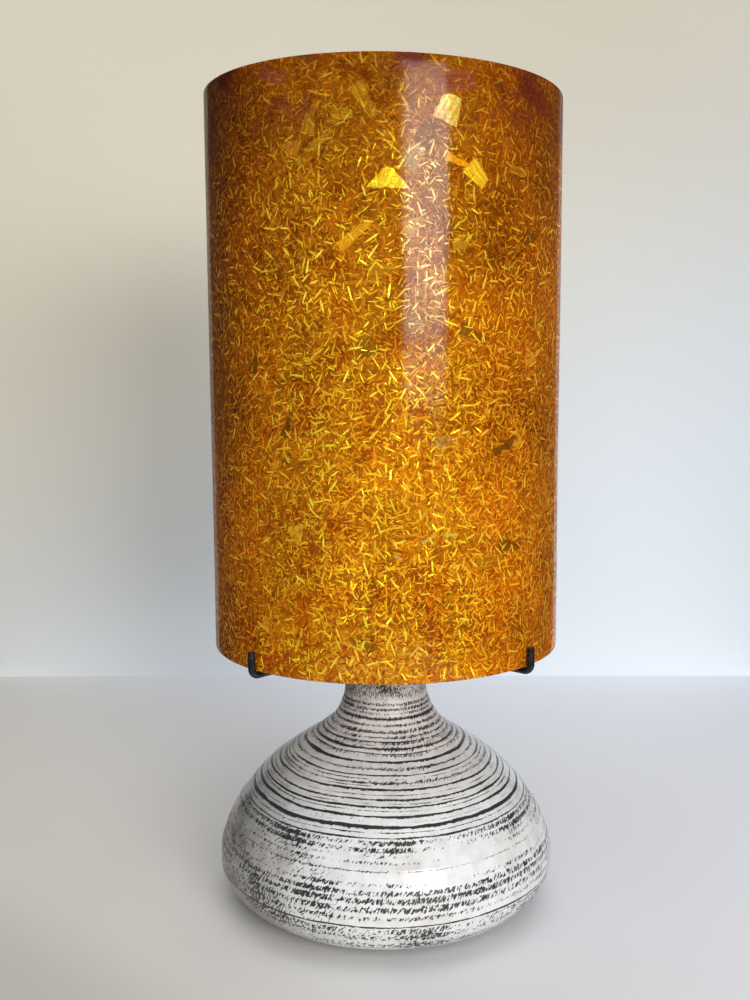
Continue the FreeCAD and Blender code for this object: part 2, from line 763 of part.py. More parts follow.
def bulbWires():
    """Two leads up beside the stem, and the filament between their ends."""
    leadStart = "stem_rod_radius + lead_gap + lead_radius"
    lead = doc.addObject("PartDesign::Body", "bulb_lead")
    path = newSketch(lead, "bulb_lead_path")
    run = path.addGeometry(Part.LineSegment(FreeCAD.Vector(3, 40, 0), FreeCAD.Vector(8, 70, 0)))
    dimension(path, run, 1, leadStart, "stem_waist")
    dimension(path, run, 2, "lead_spread", "filament_level")
    wire(lead, path, "XY_Plane", "stem_waist", (leadStart, "0"), "lead_radius")
    bind(lead, Placement__Base__z=bulbLevel)
    pairUp("bulb_leads", lead, FreeCAD.Vector(1, 0, 0))

    end = "lead_spread - lead_radius - lead_gap"
    body = doc.addObject("PartDesign::Body", "bulb_filament")
    path = newSketch(body, "bulb_filament_path")
    arch = Part.BSplineCurve()
    arch.buildFromPolesMultsKnots([rough(0), rough(1), rough(2), rough(3)], (4, 4), (0, 1), False, 3)
    drawn = path.addGeometry(arch)
    path.exposeInternalGeometry(drawn)
    places = [(f"-({end})", "filament_level"),
              (f"-({end}) / 2", "filament_level + filament_sag"),
              (f"({end}) / 2", "filament_level + filament_sag"),
              (end, "filament_level")]
    for pole, place in enumerate(places, start=1):
        dimension(path, drawn + pole, 3, *place)
    wire(body, path, "YZ_Plane", f"-({end})", ("0", "filament_level"), "filament_radius")
    keep(body, "bulb_filament", bulbLevel)


def checkAndWrite():
    doc.recompute()
    for item in doc.Objects:
        faults = [word for word in item.State if word in ("Invalid", "Error")]
        if faults:
            raise RuntimeError(f"{item.Label}: {faults}")
    for before, cut in cuts:
        if before.Shape.Volume - cut.Shape.Volume < 1e-6:
            raise RuntimeError(f"{cut.Label} cuts nothing")
    os.makedirs("parts", exist_ok=True)
    for item in pieces:
        if item.Shape.isNull() or not item.Shape.isValid():
            raise RuntimeError(f"{item.Label} has no sound shape")
        item.Shape.exportStep(f"parts/{item.Label}.step")
        print(item.Label, len(item.Shape.Solids), round(item.Shape.Volume, 1))


ceramicBase()
cableGrommet()
neckStack()
armHub()
arms()
shade()
holderShells()
contactBlock()
switchContacts()
pushSwitch()
bulb()
checkAndWrite()
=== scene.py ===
import json
import math
import random

import bpy
from mathutils import Matrix, Vector
from mathutils.bvhtree import BVHTree


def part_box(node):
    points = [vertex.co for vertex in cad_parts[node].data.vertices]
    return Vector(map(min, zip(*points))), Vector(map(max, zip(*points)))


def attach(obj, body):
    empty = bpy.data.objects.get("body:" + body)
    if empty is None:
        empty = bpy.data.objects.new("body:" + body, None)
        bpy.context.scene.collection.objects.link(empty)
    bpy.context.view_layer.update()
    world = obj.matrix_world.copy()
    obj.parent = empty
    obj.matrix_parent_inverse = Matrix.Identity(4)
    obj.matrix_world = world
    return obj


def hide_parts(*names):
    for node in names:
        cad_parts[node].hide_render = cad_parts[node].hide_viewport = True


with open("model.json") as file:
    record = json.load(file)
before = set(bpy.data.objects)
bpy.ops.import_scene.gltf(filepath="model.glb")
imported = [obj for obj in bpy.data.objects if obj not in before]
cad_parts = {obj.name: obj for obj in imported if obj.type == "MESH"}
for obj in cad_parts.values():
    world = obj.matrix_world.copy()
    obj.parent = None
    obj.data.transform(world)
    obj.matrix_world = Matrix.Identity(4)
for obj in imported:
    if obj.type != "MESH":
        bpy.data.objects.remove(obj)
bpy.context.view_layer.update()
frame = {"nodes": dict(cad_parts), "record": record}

print("the frame is loaded,", len(frame["nodes"]), "nodes")


# camera, as it stood for the photograph
camera = {
    "place": (0.0, -0.6394, 0.3149),
    "lens": 39.48,
    "sensor": 36.0,
    "down": 0.11633,  # radians below level
    "left": -0.009164,
    "roll": -0.005826,
    "clip": (0.01, 50),  # how near and how far it sees
}


def link(made):
    bpy.context.scene.collection.objects.link(made)


def makeCamera():
    lookLeft = Matrix.Rotation(-camera["left"], 3, "Z")
    lookDown = Matrix.Rotation(math.pi / 2 - camera["down"], 3, "X")
    turn = lookLeft @ lookDown @ Matrix.Rotation(camera["roll"], 3, "Z")
    data = bpy.data.cameras.new("camera")
    data.sensor_fit = "AUTO"
    data.sensor_width = camera["sensor"]
    data.lens = camera["lens"]
    data.clip_start, data.clip_end = camera["clip"]
    made = bpy.data.objects.new("camera", data)
    made.matrix_world = Matrix.Translation(camera["place"]) @ turn.to_4x4()
    link(made)
    bpy.context.scene.camera = made


makeCamera()
print("camera")


# small helpers for shader nodes
def paint(name, values):
    material = bpy.data.materials.new(name)
    material.use_nodes = True
    tree = material.node_tree
    shader = tree.nodes["Principled BSDF"]
    for socket, value in values.items():
        shader.inputs[socket].default_value = value
    return material, tree, shader


def add(tree, kind, inputs=None, **settings):
    made = tree.nodes.new("ShaderNode" + kind)
    for setting, value in settings.items():
        setattr(made, setting, value)
    for socket, value in (inputs or {}).items():
        join(tree, value, made.inputs[socket])
    return made


def join(tree, value, target):
    if isinstance(value, bpy.types.NodeSocket):
        tree.links.new(value, target)
    else:
        target.default_value = value


def feed(node, socket, value):
    node.id_data.links.new(value, node.inputs[socket])


def sums(tree, operation, *values):
    return add(tree, "Math", dict(enumerate(values)), operation=operation).outputs[0]


def times(tree, first, second):
    return sums(tree, "MULTIPLY", first, second)


def plus(tree, first, second):
    return sums(tree, "ADD", first, second)


def minus(tree, first, second):
    return sums(tree, "SUBTRACT", first, second)


def vectors(tree, operation, *values):
    made = add(tree, "VectorMath", dict(enumerate(values)), operation=operation)
    return made.outputs["Value" if operation == "DOT_PRODUCT" else "Vector"]


def ramp(tree, value, low, high, start=0.0, end=1.0, smooth=True):
    kind = "SMOOTHSTEP" if smooth else "LINEAR"
    inputs = {"Value": value, "From Min": low, "From Max": high, "To Min": start, "To Max": end}
    return add(tree, "MapRange", inputs, interpolation_type=kind).outputs[0]


def blend(tree, share, first, second, kind="MIX"):
    made = add(tree, "Mix", data_type="RGBA", blend_type=kind)
    join(tree, share, made.inputs[0])
    join(tree, colour(first), made.inputs[6])
    join(tree, colour(second), made.inputs[7])
    return made.outputs[2]


def colour(value):
    return (*value, 1.0) if isinstance(value, tuple) and len(value) == 3 else value


def noise(tree, place, scale, detail=2.0, stretch=None, rough=0.5):
    if stretch:
        place = vectors(tree, "MULTIPLY", place, stretch)
    inputs = {"Vector": place, "Scale": scale, "Detail": detail, "Roughness": rough}
    return add(tree, "TexNoise", inputs).outputs["Fac"]


def bump(tree, shader, height, depth):
    made = add(tree, "Bump", {"Height": height, "Distance": depth, "Strength": 1.0})
    feed(shader, "Normal", made.outputs[0])


# plain finishes. First a dark and a light colour that change in patches, the worn colour, the size
# of a patch and where wear starts. Then metal, lowest and highest roughness, the size of the
# grain, how much it is squeezed upward, its depth, and a coat or a sheen. Sizes are in metres
finishes = {
    "black_steel": (
        (0.026, 0.027, 0.031), (0.06, 0.06, 0.066), (0.15, 0.145, 0.14), 0.004, 0.74,
        0.75, (0.2, 0.38), 0.0006, 0.25, 0.00002, {}),
    "zinc_steel": (
        (0.5, 0.51, 0.52), (0.64, 0.64, 0.62), (0.3, 0.27, 0.22), 0.003, 0.7,
        1.0, (0.25, 0.45), 0.0004, 3, 0.00002, {}),
    "dark_brass": (
        (0.2, 0.13, 0.05), (0.36, 0.24, 0.1), (0.1, 0.075, 0.04), 0.006, 0.62,
        1.0, (0.28, 0.48), 0.0005, 4, 0.00002, {}),
    "contact_brass": (
        (0.66, 0.48, 0.19), (0.78, 0.6, 0.28), (0.4, 0.25, 0.1), 0.004, 0.7,
        1.0, (0.18, 0.34), 0.0003, 4, 0.00001, {}),
    "bakelite": (
        (0.018, 0.011, 0.008), (0.034, 0.02, 0.014), (0.05, 0.036, 0.03), 0.004, 0.78,
        0.0, (0.16, 0.32), 0.0005, 1, 0.00002, {"coat": 0.3}),
    "porcelain": (
        (0.78, 0.76, 0.71), (0.86, 0.85, 0.81), (0.6, 0.56, 0.48), 0.005, 0.74,
        0.0, (0.3, 0.46), 0.0004, 1, 0.00003, {}),
    "felt": (
        (0.035, 0.042, 0.036), (0.075, 0.085, 0.074), (0.13, 0.13, 0.12), 0.0015, 0.62,
        0.0, (0.88, 1.0), 0.0005, 0.6, 0.0003, {"sheen": 0.5}),
    "rubber_bush": (
        (0.02, 0.02, 0.021), (0.042, 0.041, 0.04), (0.11, 0.11, 0.105), 0.002, 0.7,
        0.0, (0.52, 0.7), 0.0004, 1, 0.00004, {}),
    "bulb_metal": (
        (0.66, 0.65, 0.62), (0.8, 0.79, 0.76), (0.42, 0.38, 0.32), 0.004, 0.72,
        1.0, (0.16, 0.3), 0.0003, 4, 0.00001, {}),
    "black_glass": (
        (0.01, 0.01, 0.014), (0.022, 0.021, 0.026), (0.06, 0.06, 0.06), 0.003, 0.78,
        0.0, (0.05, 0.14), 0.0006, 1, 0.00001, {"coat": 0.5}),
    "solder": (
        (0.46, 0.46, 0.47), (0.62, 0.62, 0.61), (0.28, 0.27, 0.25), 0.0012, 0.66,
        1.0, (0.34, 0.55), 0.0004, 1, 0.00005, {}),
    "tungsten": (
        (0.18, 0.18, 0.19), (0.3, 0.3, 0.31), (0.1, 0.1, 0.11), 0.001, 0.66,
        1.0, (0.4, 0.6), 0.0002, 1, 0.00001, {}),
}


# what the plain finishes share
finishRules = {
    "coatRough": 0.12,
    "sheenRough": 0.5,
    "patchEdge": (0.35, 0.65),
    "wearSize": 0.45,  # over the size of a patch
    "wearEdge": 0.12,  # how softly the wear ends
    "grainShade": 0.35,  # how much the grain darkens the colour
    "roughEdge": (0.3, 1.2),
}


def plainFinish(name, look):
    dark, light, worn, patch, wearFrom, metal, rough, fine, squeeze, depth, extra = look
    values = {"Metallic": metal}
    if "coat" in extra:
        values.update({"Coat Weight": extra["coat"], "Coat Roughness": finishRules["coatRough"]})
    if "sheen" in extra:
        values.update({"Sheen Weight": extra["sheen"], "Sheen Roughness": finishRules["sheenRough"]})
    material, tree, shader = paint(name, values)
    place = add(tree, "TexCoord").outputs["Object"]
    patches = ramp(tree, noise(tree, place, 1 / patch, 3.0), *finishRules["patchEdge"])
    grain = noise(tree, place, 1 / fine, 3.0, (1, 1, squeeze))
    base = blend(tree, patches, dark, light)
    wear = ramp(tree, noise(tree, place, finishRules["wearSize"] / patch, 5.0, rough=0.7),
                wearFrom - finishRules["wearEdge"], wearFrom)
    base = blend(tree, wear, base, worn)
    shaded = ramp(tree, grain, 0.3, 0.7, 0.0, finishRules["grainShade"])
    base = blend(tree, shaded, base, dark, "MULTIPLY")
    feed(shader, "Base Color", base)
    mixed = plus(tree, grain, wear)
    roughness = ramp(tree, mixed, *finishRules["roughEdge"], *rough, smooth=False)
    feed(shader, "Roughness", roughness)
    bump(tree, shader, grain, depth)
    return material


bulbGlass = {
    "tint": (0.97, 0.98, 0.98),
    "ior": 1.5,
    "rough": (0.0, 0.05),
    "smears": 90,  # per metre
    "waves": 60,
    "waveDepth": 0.0001,
}


def clearGlass():
    material, tree, shader = paint("bulb_clear_glass", {
        "Transmission Weight": 1.0, "IOR": bulbGlass["ior"], "Base Color": colour(bulbGlass["tint"])})
    place = add(tree, "TexCoord").outputs["Object"]
    smears = noise(tree, place, bulbGlass["smears"], 4.0)
    feed(shader, "Roughness", ramp(tree, smears, 0.45, 0.8, *bulbGlass["rough"]))
    bump(tree, shader, noise(tree, place, bulbGlass["waves"], 1.0), bulbGlass["waveDepth"])
    return material


# amber resin of the shade, full of straw-like chips. Sizes and heights are in metres, and
# angles round the wall in radians from the front
amber = {
    "deep": (0.14, 0.028, 0.001),
    "glow": (0.58, 0.175, 0.003),
    "wine": (0.085, 0.012, 0.008),
    "redder": (0.8, 0.58, 0.45),
    # towards the top the resin is redder, and painted shade darkens it
    "topRedShade": (0.26, 0.15, 0.21),  # how much colour is left at the top
    "radius": 0.0985,  # of the wall that the chips lie in
    "lean": 0.85,  # how far a chip leans out of the wall
    "glint": 0.2,  # how much the lightest chips shine
    "coat": (0.36, 0.92),  # how much the surface shines over dark and over bright chips
    "cloudy": 0.22,  # how much the resin over the chips hides them
    "cloud": (0.33, 0.125, 0.005),
    "rough": (0.16, 0.3),
    "ripple": 0.0003,  # depth of the surface's slow waves
    "ragged": 0.002,  # how far the edge of a larger flake wanders
    "duskAt": (0.25, 0.475),  # heights between which the top darkens
    "stainAt": (0.42, 0.455),  # heights between which the wine stain sets in
    "stainShown": 0.8,
    "backFade": (0.02, 0.09),  # behind the middle, where left and right become one again
    # where the sides redden and darken, painted shade towards the limbs, then where painted shade dims the
    # left one and a painted reflection brightens the right one
    "leftLimbShade": (-0.35, -0.85),
    "rightLimbShade": (0.3, 0.62, 0.0, 0.9),
    "leftEdgeShade": (-0.7, -1.15, 1.0, 0.76),
    "rightEdgeReflection": (1.02, 1.3, 1.0, 1.38),
    "patches": (0.32, 0.68, 1.03, 1.5),
    "grains": (0.3, 0.7, 0.8, 1.18),
    "lengths": (0.6, 1.25),  # shortest and longest chip, over the half length
    "flat": 4,  # this many of the deepest layers lie flat
    "chunksAt": 5,  # the layer before which the angular flakes come
    "flakesAt": 8,  # and the one before which the larger flakes come
    "deepShown": 0.9,  # how much shows of the layers under the larger flakes
    "thinning": (0.36, 0.46, 0.88, 0.18),  # and of those over them, from one height to another
    # each layer lays one chip in each cell, turned at random: cell, half length, half width,
    # the share of the cells that hold a chip, a dark and a light colour
    "layers": (
        (0.0078, 0.0052, 0.0017, 0.85, (0.145, 0.032, 0.001), (0.475, 0.145, 0.003)),
        (0.006, 0.0046, 0.001, 0.9, (0.277, 0.073, 0.001), (0.713, 0.262, 0.004)),
        (0.0044, 0.0032, 0.0007, 0.9, (0.158, 0.036, 0.001), (0.581, 0.196, 0.003)),
        (0.0052, 0.0042, 0.0007, 0.85, (0.436, 0.138, 0.001), (0.977, 0.421, 0.007)),
        (0.0034, 0.0022, 0.0005, 0.9, (0.198, 0.046, 0.001), (0.818, 0.327, 0.005)),
        (0.0028, 0.0016, 0.0004, 0.85, (0.396, 0.123, 0.001), (1.0, 0.567, 0.013)),
        (0.005, 0.0038, 0.0005, 0.65, (0.607, 0.218, 0.003), (1.0, 0.668, 0.021)),
        (0.0032, 0.002, 0.0004, 0.55, (0.106, 0.022, 0.001), (0.343, 0.095, 0.001)),
        (0.004, 0.0028, 0.0004, 0.6, (0.792, 0.334, 0.004), (1.0, 0.9, 0.028)),
        (0.0068, 0.0044, 0.0006, 0.42, (1.0, 0.653, 0.013), (1.0, 0.9, 0.075)),
    ),
    # angular flakes: cell, share of the cells that are filled, how much shows, two colours
    "chunks": (
        (0.011, 0.012, 0.75, (0.08, 0.04, 0.003), (0.22, 0.11, 0.006)),
        (0.0075, 0.008, 0.75, (0.64, 0.29, 0.006), (0.92, 0.56, 0.04)),
        (0.009, 0.01, 0.7, (0.16, 0.014, 0.003), (0.28, 0.036, 0.004)),
    ),
    # the larger flakes: degrees from the front, height, turn in degrees, half length,
    # half width, how far it narrows to one end, kind
    "flakes": (
        (-5.0, 0.4432, -60, 0.0095, 0.0042, 0.45, "olive"),
        (-11.5, 0.4372, 0, 0.0054, 0.0048, 0.6, "olive"),
        (-20.7, 0.4359, 76, 0.0075, 0.0042, 0.7, "olive"),
        (-19.6, 0.4231, 40, 0.0122, 0.0026, 0.3, "olive"),
        (1.2, 0.4073, 88, 0.0048, 0.011, 0.8, "yellow"),
        (18.5, 0.4403, 70, 0.007, 0.007, 0.3, "pale"),
        (27.4, 0.4103, -42, 0.0066, 0.0052, 0.35, "yellow"),
        (21.6, 0.4158, -20, 0.0075, 0.0022, 0.5, "orange"),
        (8.3, 0.4172, 62, 0.0066, 0.0052, 0.3, "grey"),
        (43.4, 0.4144, 0, 0.008, 0.0024, 0.3, "olive"),
        (49.2, 0.3826, 8, 0.007, 0.0044, 0.8, "dark"),
        (-8.1, 0.3807, 40, 0.0098, 0.0028, 0.4, "gold"),
        (-11.8, 0.3927, 50, 0.0115, 0.0028, 0.2, "rust"),
        (-0.3, 0.3639, 0, 0.0062, 0.003, 0.25, "olive"),
        (25.6, 0.3338, -24, 0.007, 0.0038, 0.55, "dark"),
        (7.4, 0.3375, 30, 0.0058, 0.0046, 0.2, "grey"),
        (-29.3, 0.2885, 70, 0.0068, 0.0023, 0.45, "dark"),
        (-41.5, 0.3187, 60, 0.0052, 0.0034, 0.3, "dark"),
        (17.1, 0.2801, 10, 0.006, 0.0038, 0.3, "grey"),
        (36.2, 0.2752, 24, 0.0052, 0.0026, 0.4, "dark"),
        (40.4, 0.2792, 32, 0.005, 0.0032, 0.6, "dark"),
        (40.4, 0.225, -8, 0.0084, 0.0042, 0.5, "dark"),
        (32.4, 0.2191, 6, 0.0086, 0.005, 0.4, "olive"),
        (-26.7, 0.2674, 10, 0.0085, 0.0051, 0.2, "rust"),
        (19.3, 0.2336, 4, 0.0038, 0.0011, 0.3, "pale"),
        (12.6, 0.2316, 32, 0.0044, 0.0009, 0.4, "pale"),
        (3.7, 0.2229, -26, 0.0028, 0.0009, 0.3, "pale"),
        (-28.8, 0.1699, 0, 0.006, 0.003, 0.2, "rust"),
        (-35.0, 0.1665, 24, 0.01, 0.0052, 0.45, "red"),
        (-28.0, 0.161, -30, 0.007, 0.004, 0.5, "red"),
        (-47.0, 0.176, 70, 0.007, 0.0036, 0.4, "red"),
        (-38.0, 0.233, 40, 0.006, 0.003, 0.4, "rust"),
        (20.6, 0.453, 10, 0.011, 0.006, 0.3, "wine"),
        (-33.0, 0.459, -20, 0.009, 0.004, 0.3, "wine"),
        (-52.0, 0.456, 80, 0.006, 0.0036, 0.3, "wine"),
        (7.0, 0.461, 0, 0.006, 0.0034, 0.2, "wine"),
    ),
    # a dark and a light colour, and how much of the flake shows
    "kinds": {
        "olive": ((0.19, 0.09, 0.003), (0.46, 0.24, 0.009), 0.8),
        "yellow": ((0.64, 0.38, 0.004), (0.95, 0.78, 0.03), 0.92),
        "pale": ((0.44, 0.31, 0.03), (0.64, 0.52, 0.12), 0.92),
        "orange": ((0.6, 0.2, 0.003), (0.85, 0.38, 0.01), 0.8),
        "gold": ((0.42, 0.18, 0.002), (0.72, 0.38, 0.006), 0.8),
        "rust": ((0.2, 0.042, 0.001), (0.42, 0.11, 0.002), 0.7),
        "dark": ((0.036, 0.018, 0.002), (0.12, 0.052, 0.004), 0.85),
        "grey": ((0.2, 0.12, 0.03), (0.34, 0.23, 0.07), 0.5),
        "wine": ((0.08, 0.01, 0.012), (0.19, 0.028, 0.024), 0.8),
        "red": ((0.15, 0.012, 0.002), (0.46, 0.06, 0.003), 0.72),
    },
}


def newGroup(name, inputs, outputs):
    group = bpy.data.node_groups.new(name, "ShaderNodeTree")
    for way, sockets in (("INPUT", inputs), ("OUTPUT", outputs)):
        for socket, kind in sockets.items():
            group.interface.new_socket(socket, in_out=way, socket_type="NodeSocket" + kind)
    return group, group.nodes.new("NodeGroupInput").outputs


def splinterGroup():
    group, given = newGroup("splinters", {
        "Place": "Vector", "Along": "Vector", "Shift": "Vector", "Scale": "Float", "Length": "Float",
        "Width": "Float", "Share": "Float"}, {"Mask": "Float", "Tone": "Float", "Lean": "Color"})
    place = vectors(group, "ADD", given["Place"], given["Shift"])
    cells = add(group, "TexVoronoi", {"Vector": place, "Scale": given["Scale"]}, feature="F1")
    offset = vectors(group, "SUBTRACT", place, cells.outputs["Position"])
    across = vectors(group, "DOT_PRODUCT", offset, given["Along"])
    height = add(group, "SeparateXYZ", {0: offset}).outputs["Z"]
    chance = add(group, "SeparateColor", {0: cells.outputs["Color"]}).outputs
    turn = times(group, chance[0], math.pi)
    sine, cosine = sums(group, "SINE", turn), sums(group, "COSINE", turn)
    lengthwise = sums(group, "ABSOLUTE", plus(
        group, times(group, across, cosine), times(group, height, sine)))
    sidewise = sums(group, "ABSOLUTE", minus(
        group, times(group, height, cosine), times(group, across, sine)))
    # a splinter keeps its width along half its length, then runs to a point
    size = ramp(group, chance[1], 0.0, 1.0, *amber["lengths"], smooth=False)
    reach = sums(group, "DIVIDE", lengthwise, times(group, given["Length"], size))
    spread = sums(group, "DIVIDE", sidewise, given["Width"])
    edge = sums(group, "MAXIMUM", spread, minus(group, plus(group, times(
        group, reach, 1.6), spread), 0.7))
    held = sums(group, "LESS_THAN", chance[2], given["Share"])
    mask = times(group, ramp(group, edge, 0.55, 1.0, 1.0, 0.0), held)
    other = add(group, "TexWhiteNoise", {"Vector": cells.outputs["Position"]}, noise_dimensions="3D").outputs
    taken = group.nodes.new("NodeGroupOutput")
    feed(taken, "Mask", mask)
    # painted highlight along the middle of each chip, and painted shade towards its edges
    ridgeHighlight = ramp(group, spread, 0.0, 1.0, 1.0, 0.55)
    feed(taken, "Tone", times(group, other["Value"], ridgeHighlight))
    feed(taken, "Lean", other["Color"])
    return group


def flakeGroup():
    # one flake, laid out flat: Middle is where it lies, and Half holds its half length, its
    # half width and how far it narrows
    group, given = newGroup("flake", {
        "Across": "Float", "Height": "Float", "Middle": "Vector", "Turn": "Float", "Half": "Vector"},
        {"Mask": "Float", "Grain": "Float"})
    middle = add(group, "SeparateXYZ", {0: given["Middle"]}).outputs
    half = add(group, "SeparateXYZ", {0: given["Half"]}).outputs
    right = minus(group, given["Across"], middle[0])
    up = minus(group, given["Height"], middle[1])
    sine, cosine = sums(group, "SINE", given["Turn"]), sums(group, "COSINE", given["Turn"])
    reach = sums(group, "DIVIDE", plus(
        group, times(group, right, cosine), times(group, up, sine)), half[0])
    wide = sums(group, "DIVIDE", minus(
        group, times(group, up, cosine), times(group, right, sine)), half[1])
    lean = times(group, half[2], sums(group, "MULTIPLY_ADD", reach, 0.5, 0.5))
    edge = sums(group, "MAXIMUM", sums(group, "ABSOLUTE", reach),
                plus(group, sums(group, "ABSOLUTE", wide), lean))
    lines = plus(group, times(group, wide, 4.0), times(group, reach, 0.7))
    lines = plus(group, lines, times(group, middle[0], 900))
    grain = add(group, "TexNoise", {"W": lines, "Scale": 1.0, "Detail": 3.0}, noise_dimensions="1D")
    taken = group.nodes.new("NodeGroupOutput")
    feed(taken, "Mask", ramp(group, edge, 0.9, 1.0, 1.0, 0.0))
    feed(taken, "Grain", grain.outputs["Fac"])
    return group


def layOn(tree, base, strength, tone, colours):
    # lays the dark colour over the base, then lightens it towards the light one
    dark, light = colours
    base = blend(tree, strength, base, dark)
    rise = tuple(high - low for low, high in zip(dark, light))
    return blend(tree, times(tree, strength, tone), base, rise, "ADD")


def layFlakes(tree, base, across, height):
    flake = flakeGroup()
    for azimuth, middle, turn, length, width, narrow, kind in amber["flakes"]:
        dark, light, strength = amber["kinds"][kind]
        spot = (math.radians(azimuth) * amber["radius"], middle, 0.0)
        made = add(tree, "Group", {
            "Across": across, "Height": height, "Middle": spot, "Turn": math.radians(turn),
            "Half": (length, width, narrow)}, node_tree=flake)
        shown = times(tree, made.outputs["Mask"], strength)
        base = layOn(tree, base, shown, ramp(tree, made.outputs["Grain"], 0.3, 0.7), (dark, light))
    return base


def chunkLayer(tree, place, chunk, base, draw):
    # some cells of a coarse pattern are filled, which gives angular flakes
    cell, share, strength, dark, light = chunk
    shift = tuple(draw.uniform(-1, 1) for axis in range(3))
    cells = add(tree, "TexVoronoi", {"Vector": vectors(tree, "ADD", place, shift), "Scale": 1 / cell})
    chance = add(tree, "SeparateColor", {0: cells.outputs["Color"]}).outputs
    held = sums(tree, "LESS_THAN", chance[0], share)
    grain = noise(tree, place, 700, 2.0, (1, 1, 0.3))
    tone = plus(tree, times(tree, chance[1], 0.5), times(tree, grain, 0.5))
    return layOn(tree, base, times(tree, held, strength), tone, (dark, light))


def roundWall(tree):
    # a place on the wall, its three parts, and the direction round the wall
    place = add(tree, "TexCoord").outputs["Object"]
    parts = add(tree, "SeparateXYZ", {0: place}).outputs
    outward = vectors(tree, "NORMALIZE", add(tree, "CombineXYZ", {0: parts[0], 1: parts[1]}).outputs[0])
    return place, parts, vectors(tree, "CROSS_PRODUCT", (0.0, 0.0, 1.0), outward)


def dimmed(tree, base, level):
    grey = add(tree, "CombineColor", {0: level, 1: level, 2: level}).outputs[0]
    return blend(tree, 1.0, base, grey, "MULTIPLY")


def amberResin():
    material, tree, shader = paint("amber_resin", {
        "IOR": 1.5, "Coat Roughness": 0.06, "Coat IOR": 1.46, "Specular IOR Level": 0.0,
        "Specular Tint": (0.85, 0.34, 0.06, 1.0)})
    splinters = splinterGroup()
    place, parts, along = roundWall(tree)
    clouds = noise(tree, place, 26, 4.0, rough=0.65)
    base = blend(tree, ramp(tree, clouds, 0.35, 0.65), amber["deep"], amber["glow"])
    lean = (0.5, 0.5, 0.5)
    # ragged place of the larger flakes, measured round the wall from the front
    ragged = add(tree, "TexNoise", {"Vector": place, "Scale": 240, "Detail": 2.0}).outputs["Color"]
    ragged = add(tree, "SeparateColor", {0: ragged}).outputs
    front = sums(tree, "ARCTAN2", parts[0], times(tree, parts[1], -1.0))
    wander = amber["ragged"]
    across = sums(tree, "MULTIPLY_ADD", front, amber["radius"],
                  sums(tree, "MULTIPLY_ADD", ragged[0], wander, -wander / 2))
    height = plus(tree, parts[2], sums(tree, "MULTIPLY_ADD", ragged[1], wander, -wander / 2))
    draw = random.Random(7)
    for count, (cell, length, width, share, dark, light) in enumerate(amber["layers"]):
        shift = tuple(draw.uniform(-1, 1) for axis in range(3))
        if count == amber["chunksAt"]:
            for chunk in amber["chunks"]:
                base = chunkLayer(tree, place, chunk, base, draw)
        if count == amber["flakesAt"]:
            # the resin is redder towards the top, and painted shade darkens it there
            topRedShade = ramp(tree, parts[2], *amber["duskAt"], smooth=False)
            base = blend(tree, topRedShade, base, amber["topRedShade"], "MULTIPLY")
            base = layFlakes(tree, base, across, height)
        made = add(tree, "Group", {
            "Place": place, "Along": along, "Shift": shift, "Scale": 1 / cell,
            "Length": length, "Width": width, "Share": share}, node_tree=splinters)
        over = count >= amber["flakesAt"]
        thinner = ramp(tree, parts[2], *amber["thinning"]) if over else amber["deepShown"]
        strength = times(tree, made.outputs["Mask"], thinner)
        base = layOn(tree, base, strength, made.outputs["Tone"], (dark, light))
        if count >= amber["flat"]:
            lean = blend(tree, strength, lean, made.outputs["Lean"])
    # the resin over the chips clouds them a little
    base = blend(tree, amber["cloudy"], base, amber["cloud"])
    # wine-red clouds at the rim
    stain = times(tree, ramp(tree, noise(tree, place, 30, 2.0), 0.5, 0.62),
                 ramp(tree, parts[2], *amber["stainAt"]))
    base = blend(tree, times(tree, stain, amber["stainShown"]), base, amber["wine"])
    # it is redder in clumps, and painted shade reddens and darkens it all over at the left and right. The
    # angle is 0 again at the back
    around = times(tree, front, ramp(tree, parts[1], *amber["backFade"], 1.0, 0.0))
    leftLimbShade = ramp(tree, around, *amber["leftLimbShade"])
    sides = sums(tree, "MAXIMUM", leftLimbShade, ramp(tree, around, *amber["rightLimbShade"]))
    clumpsAndLimbShade = sums(tree, "MAXIMUM", ramp(tree, noise(tree, place, 62, 3.0, rough=0.6), 0.48, 0.66), sides)
    base = blend(tree, clumpsAndLimbShade, base, amber["redder"], "MULTIPLY")
    # painted shade at the left edge, and a painted reflection that brightens the right edge
    ends = times(tree, ramp(tree, around, *amber["leftEdgeShade"]), ramp(tree, around, *amber["rightEdgeReflection"]))
    base = dimmed(tree, base, ends)
    patches = ramp(tree, noise(tree, place, 16, 3.0), *amber["patches"])
    grains = ramp(tree, noise(tree, place, 1400, 2.0), *amber["grains"])
    base = dimmed(tree, base, times(tree, patches, grains))
    feed(shader, "Base Color", base)
    bright = add(tree, "SeparateColor", {0: base}).outputs[1]
    feed(shader, "Metallic", ramp(tree, bright, 0.2, 0.6, 0.0, amber["glint"]))
    feed(shader, "Coat Weight", ramp(tree, bright, 0.08, 0.5, *amber["coat"]))
    fine = noise(tree, place, 900, 2.0)
    feed(shader, "Roughness", ramp(tree, fine, 0.2, 0.8, *amber["rough"]))
    facing = add(tree, "NewGeometry").outputs["Normal"]
    lean = vectors(tree, "SUBTRACT", lean, (0.5, 0.5, 0.5))
    leaning = vectors(tree, "ADD", facing, vectors(tree, "MULTIPLY", lean, (amber["lean"],) * 3))
    feed(shader, "Normal", vectors(tree, "NORMALIZE", leaning))
    ripple = sums(tree, "MULTIPLY_ADD", noise(tree, place, 620, 2.0), 0.16, noise(tree, place, 45, 2.0))
    swell = add(tree, "Bump", {"Height": ripple, "Distance": amber["ripple"], "Strength": 1.0})
    feed(shader, "Coat Normal", swell.outputs[0])
    return material


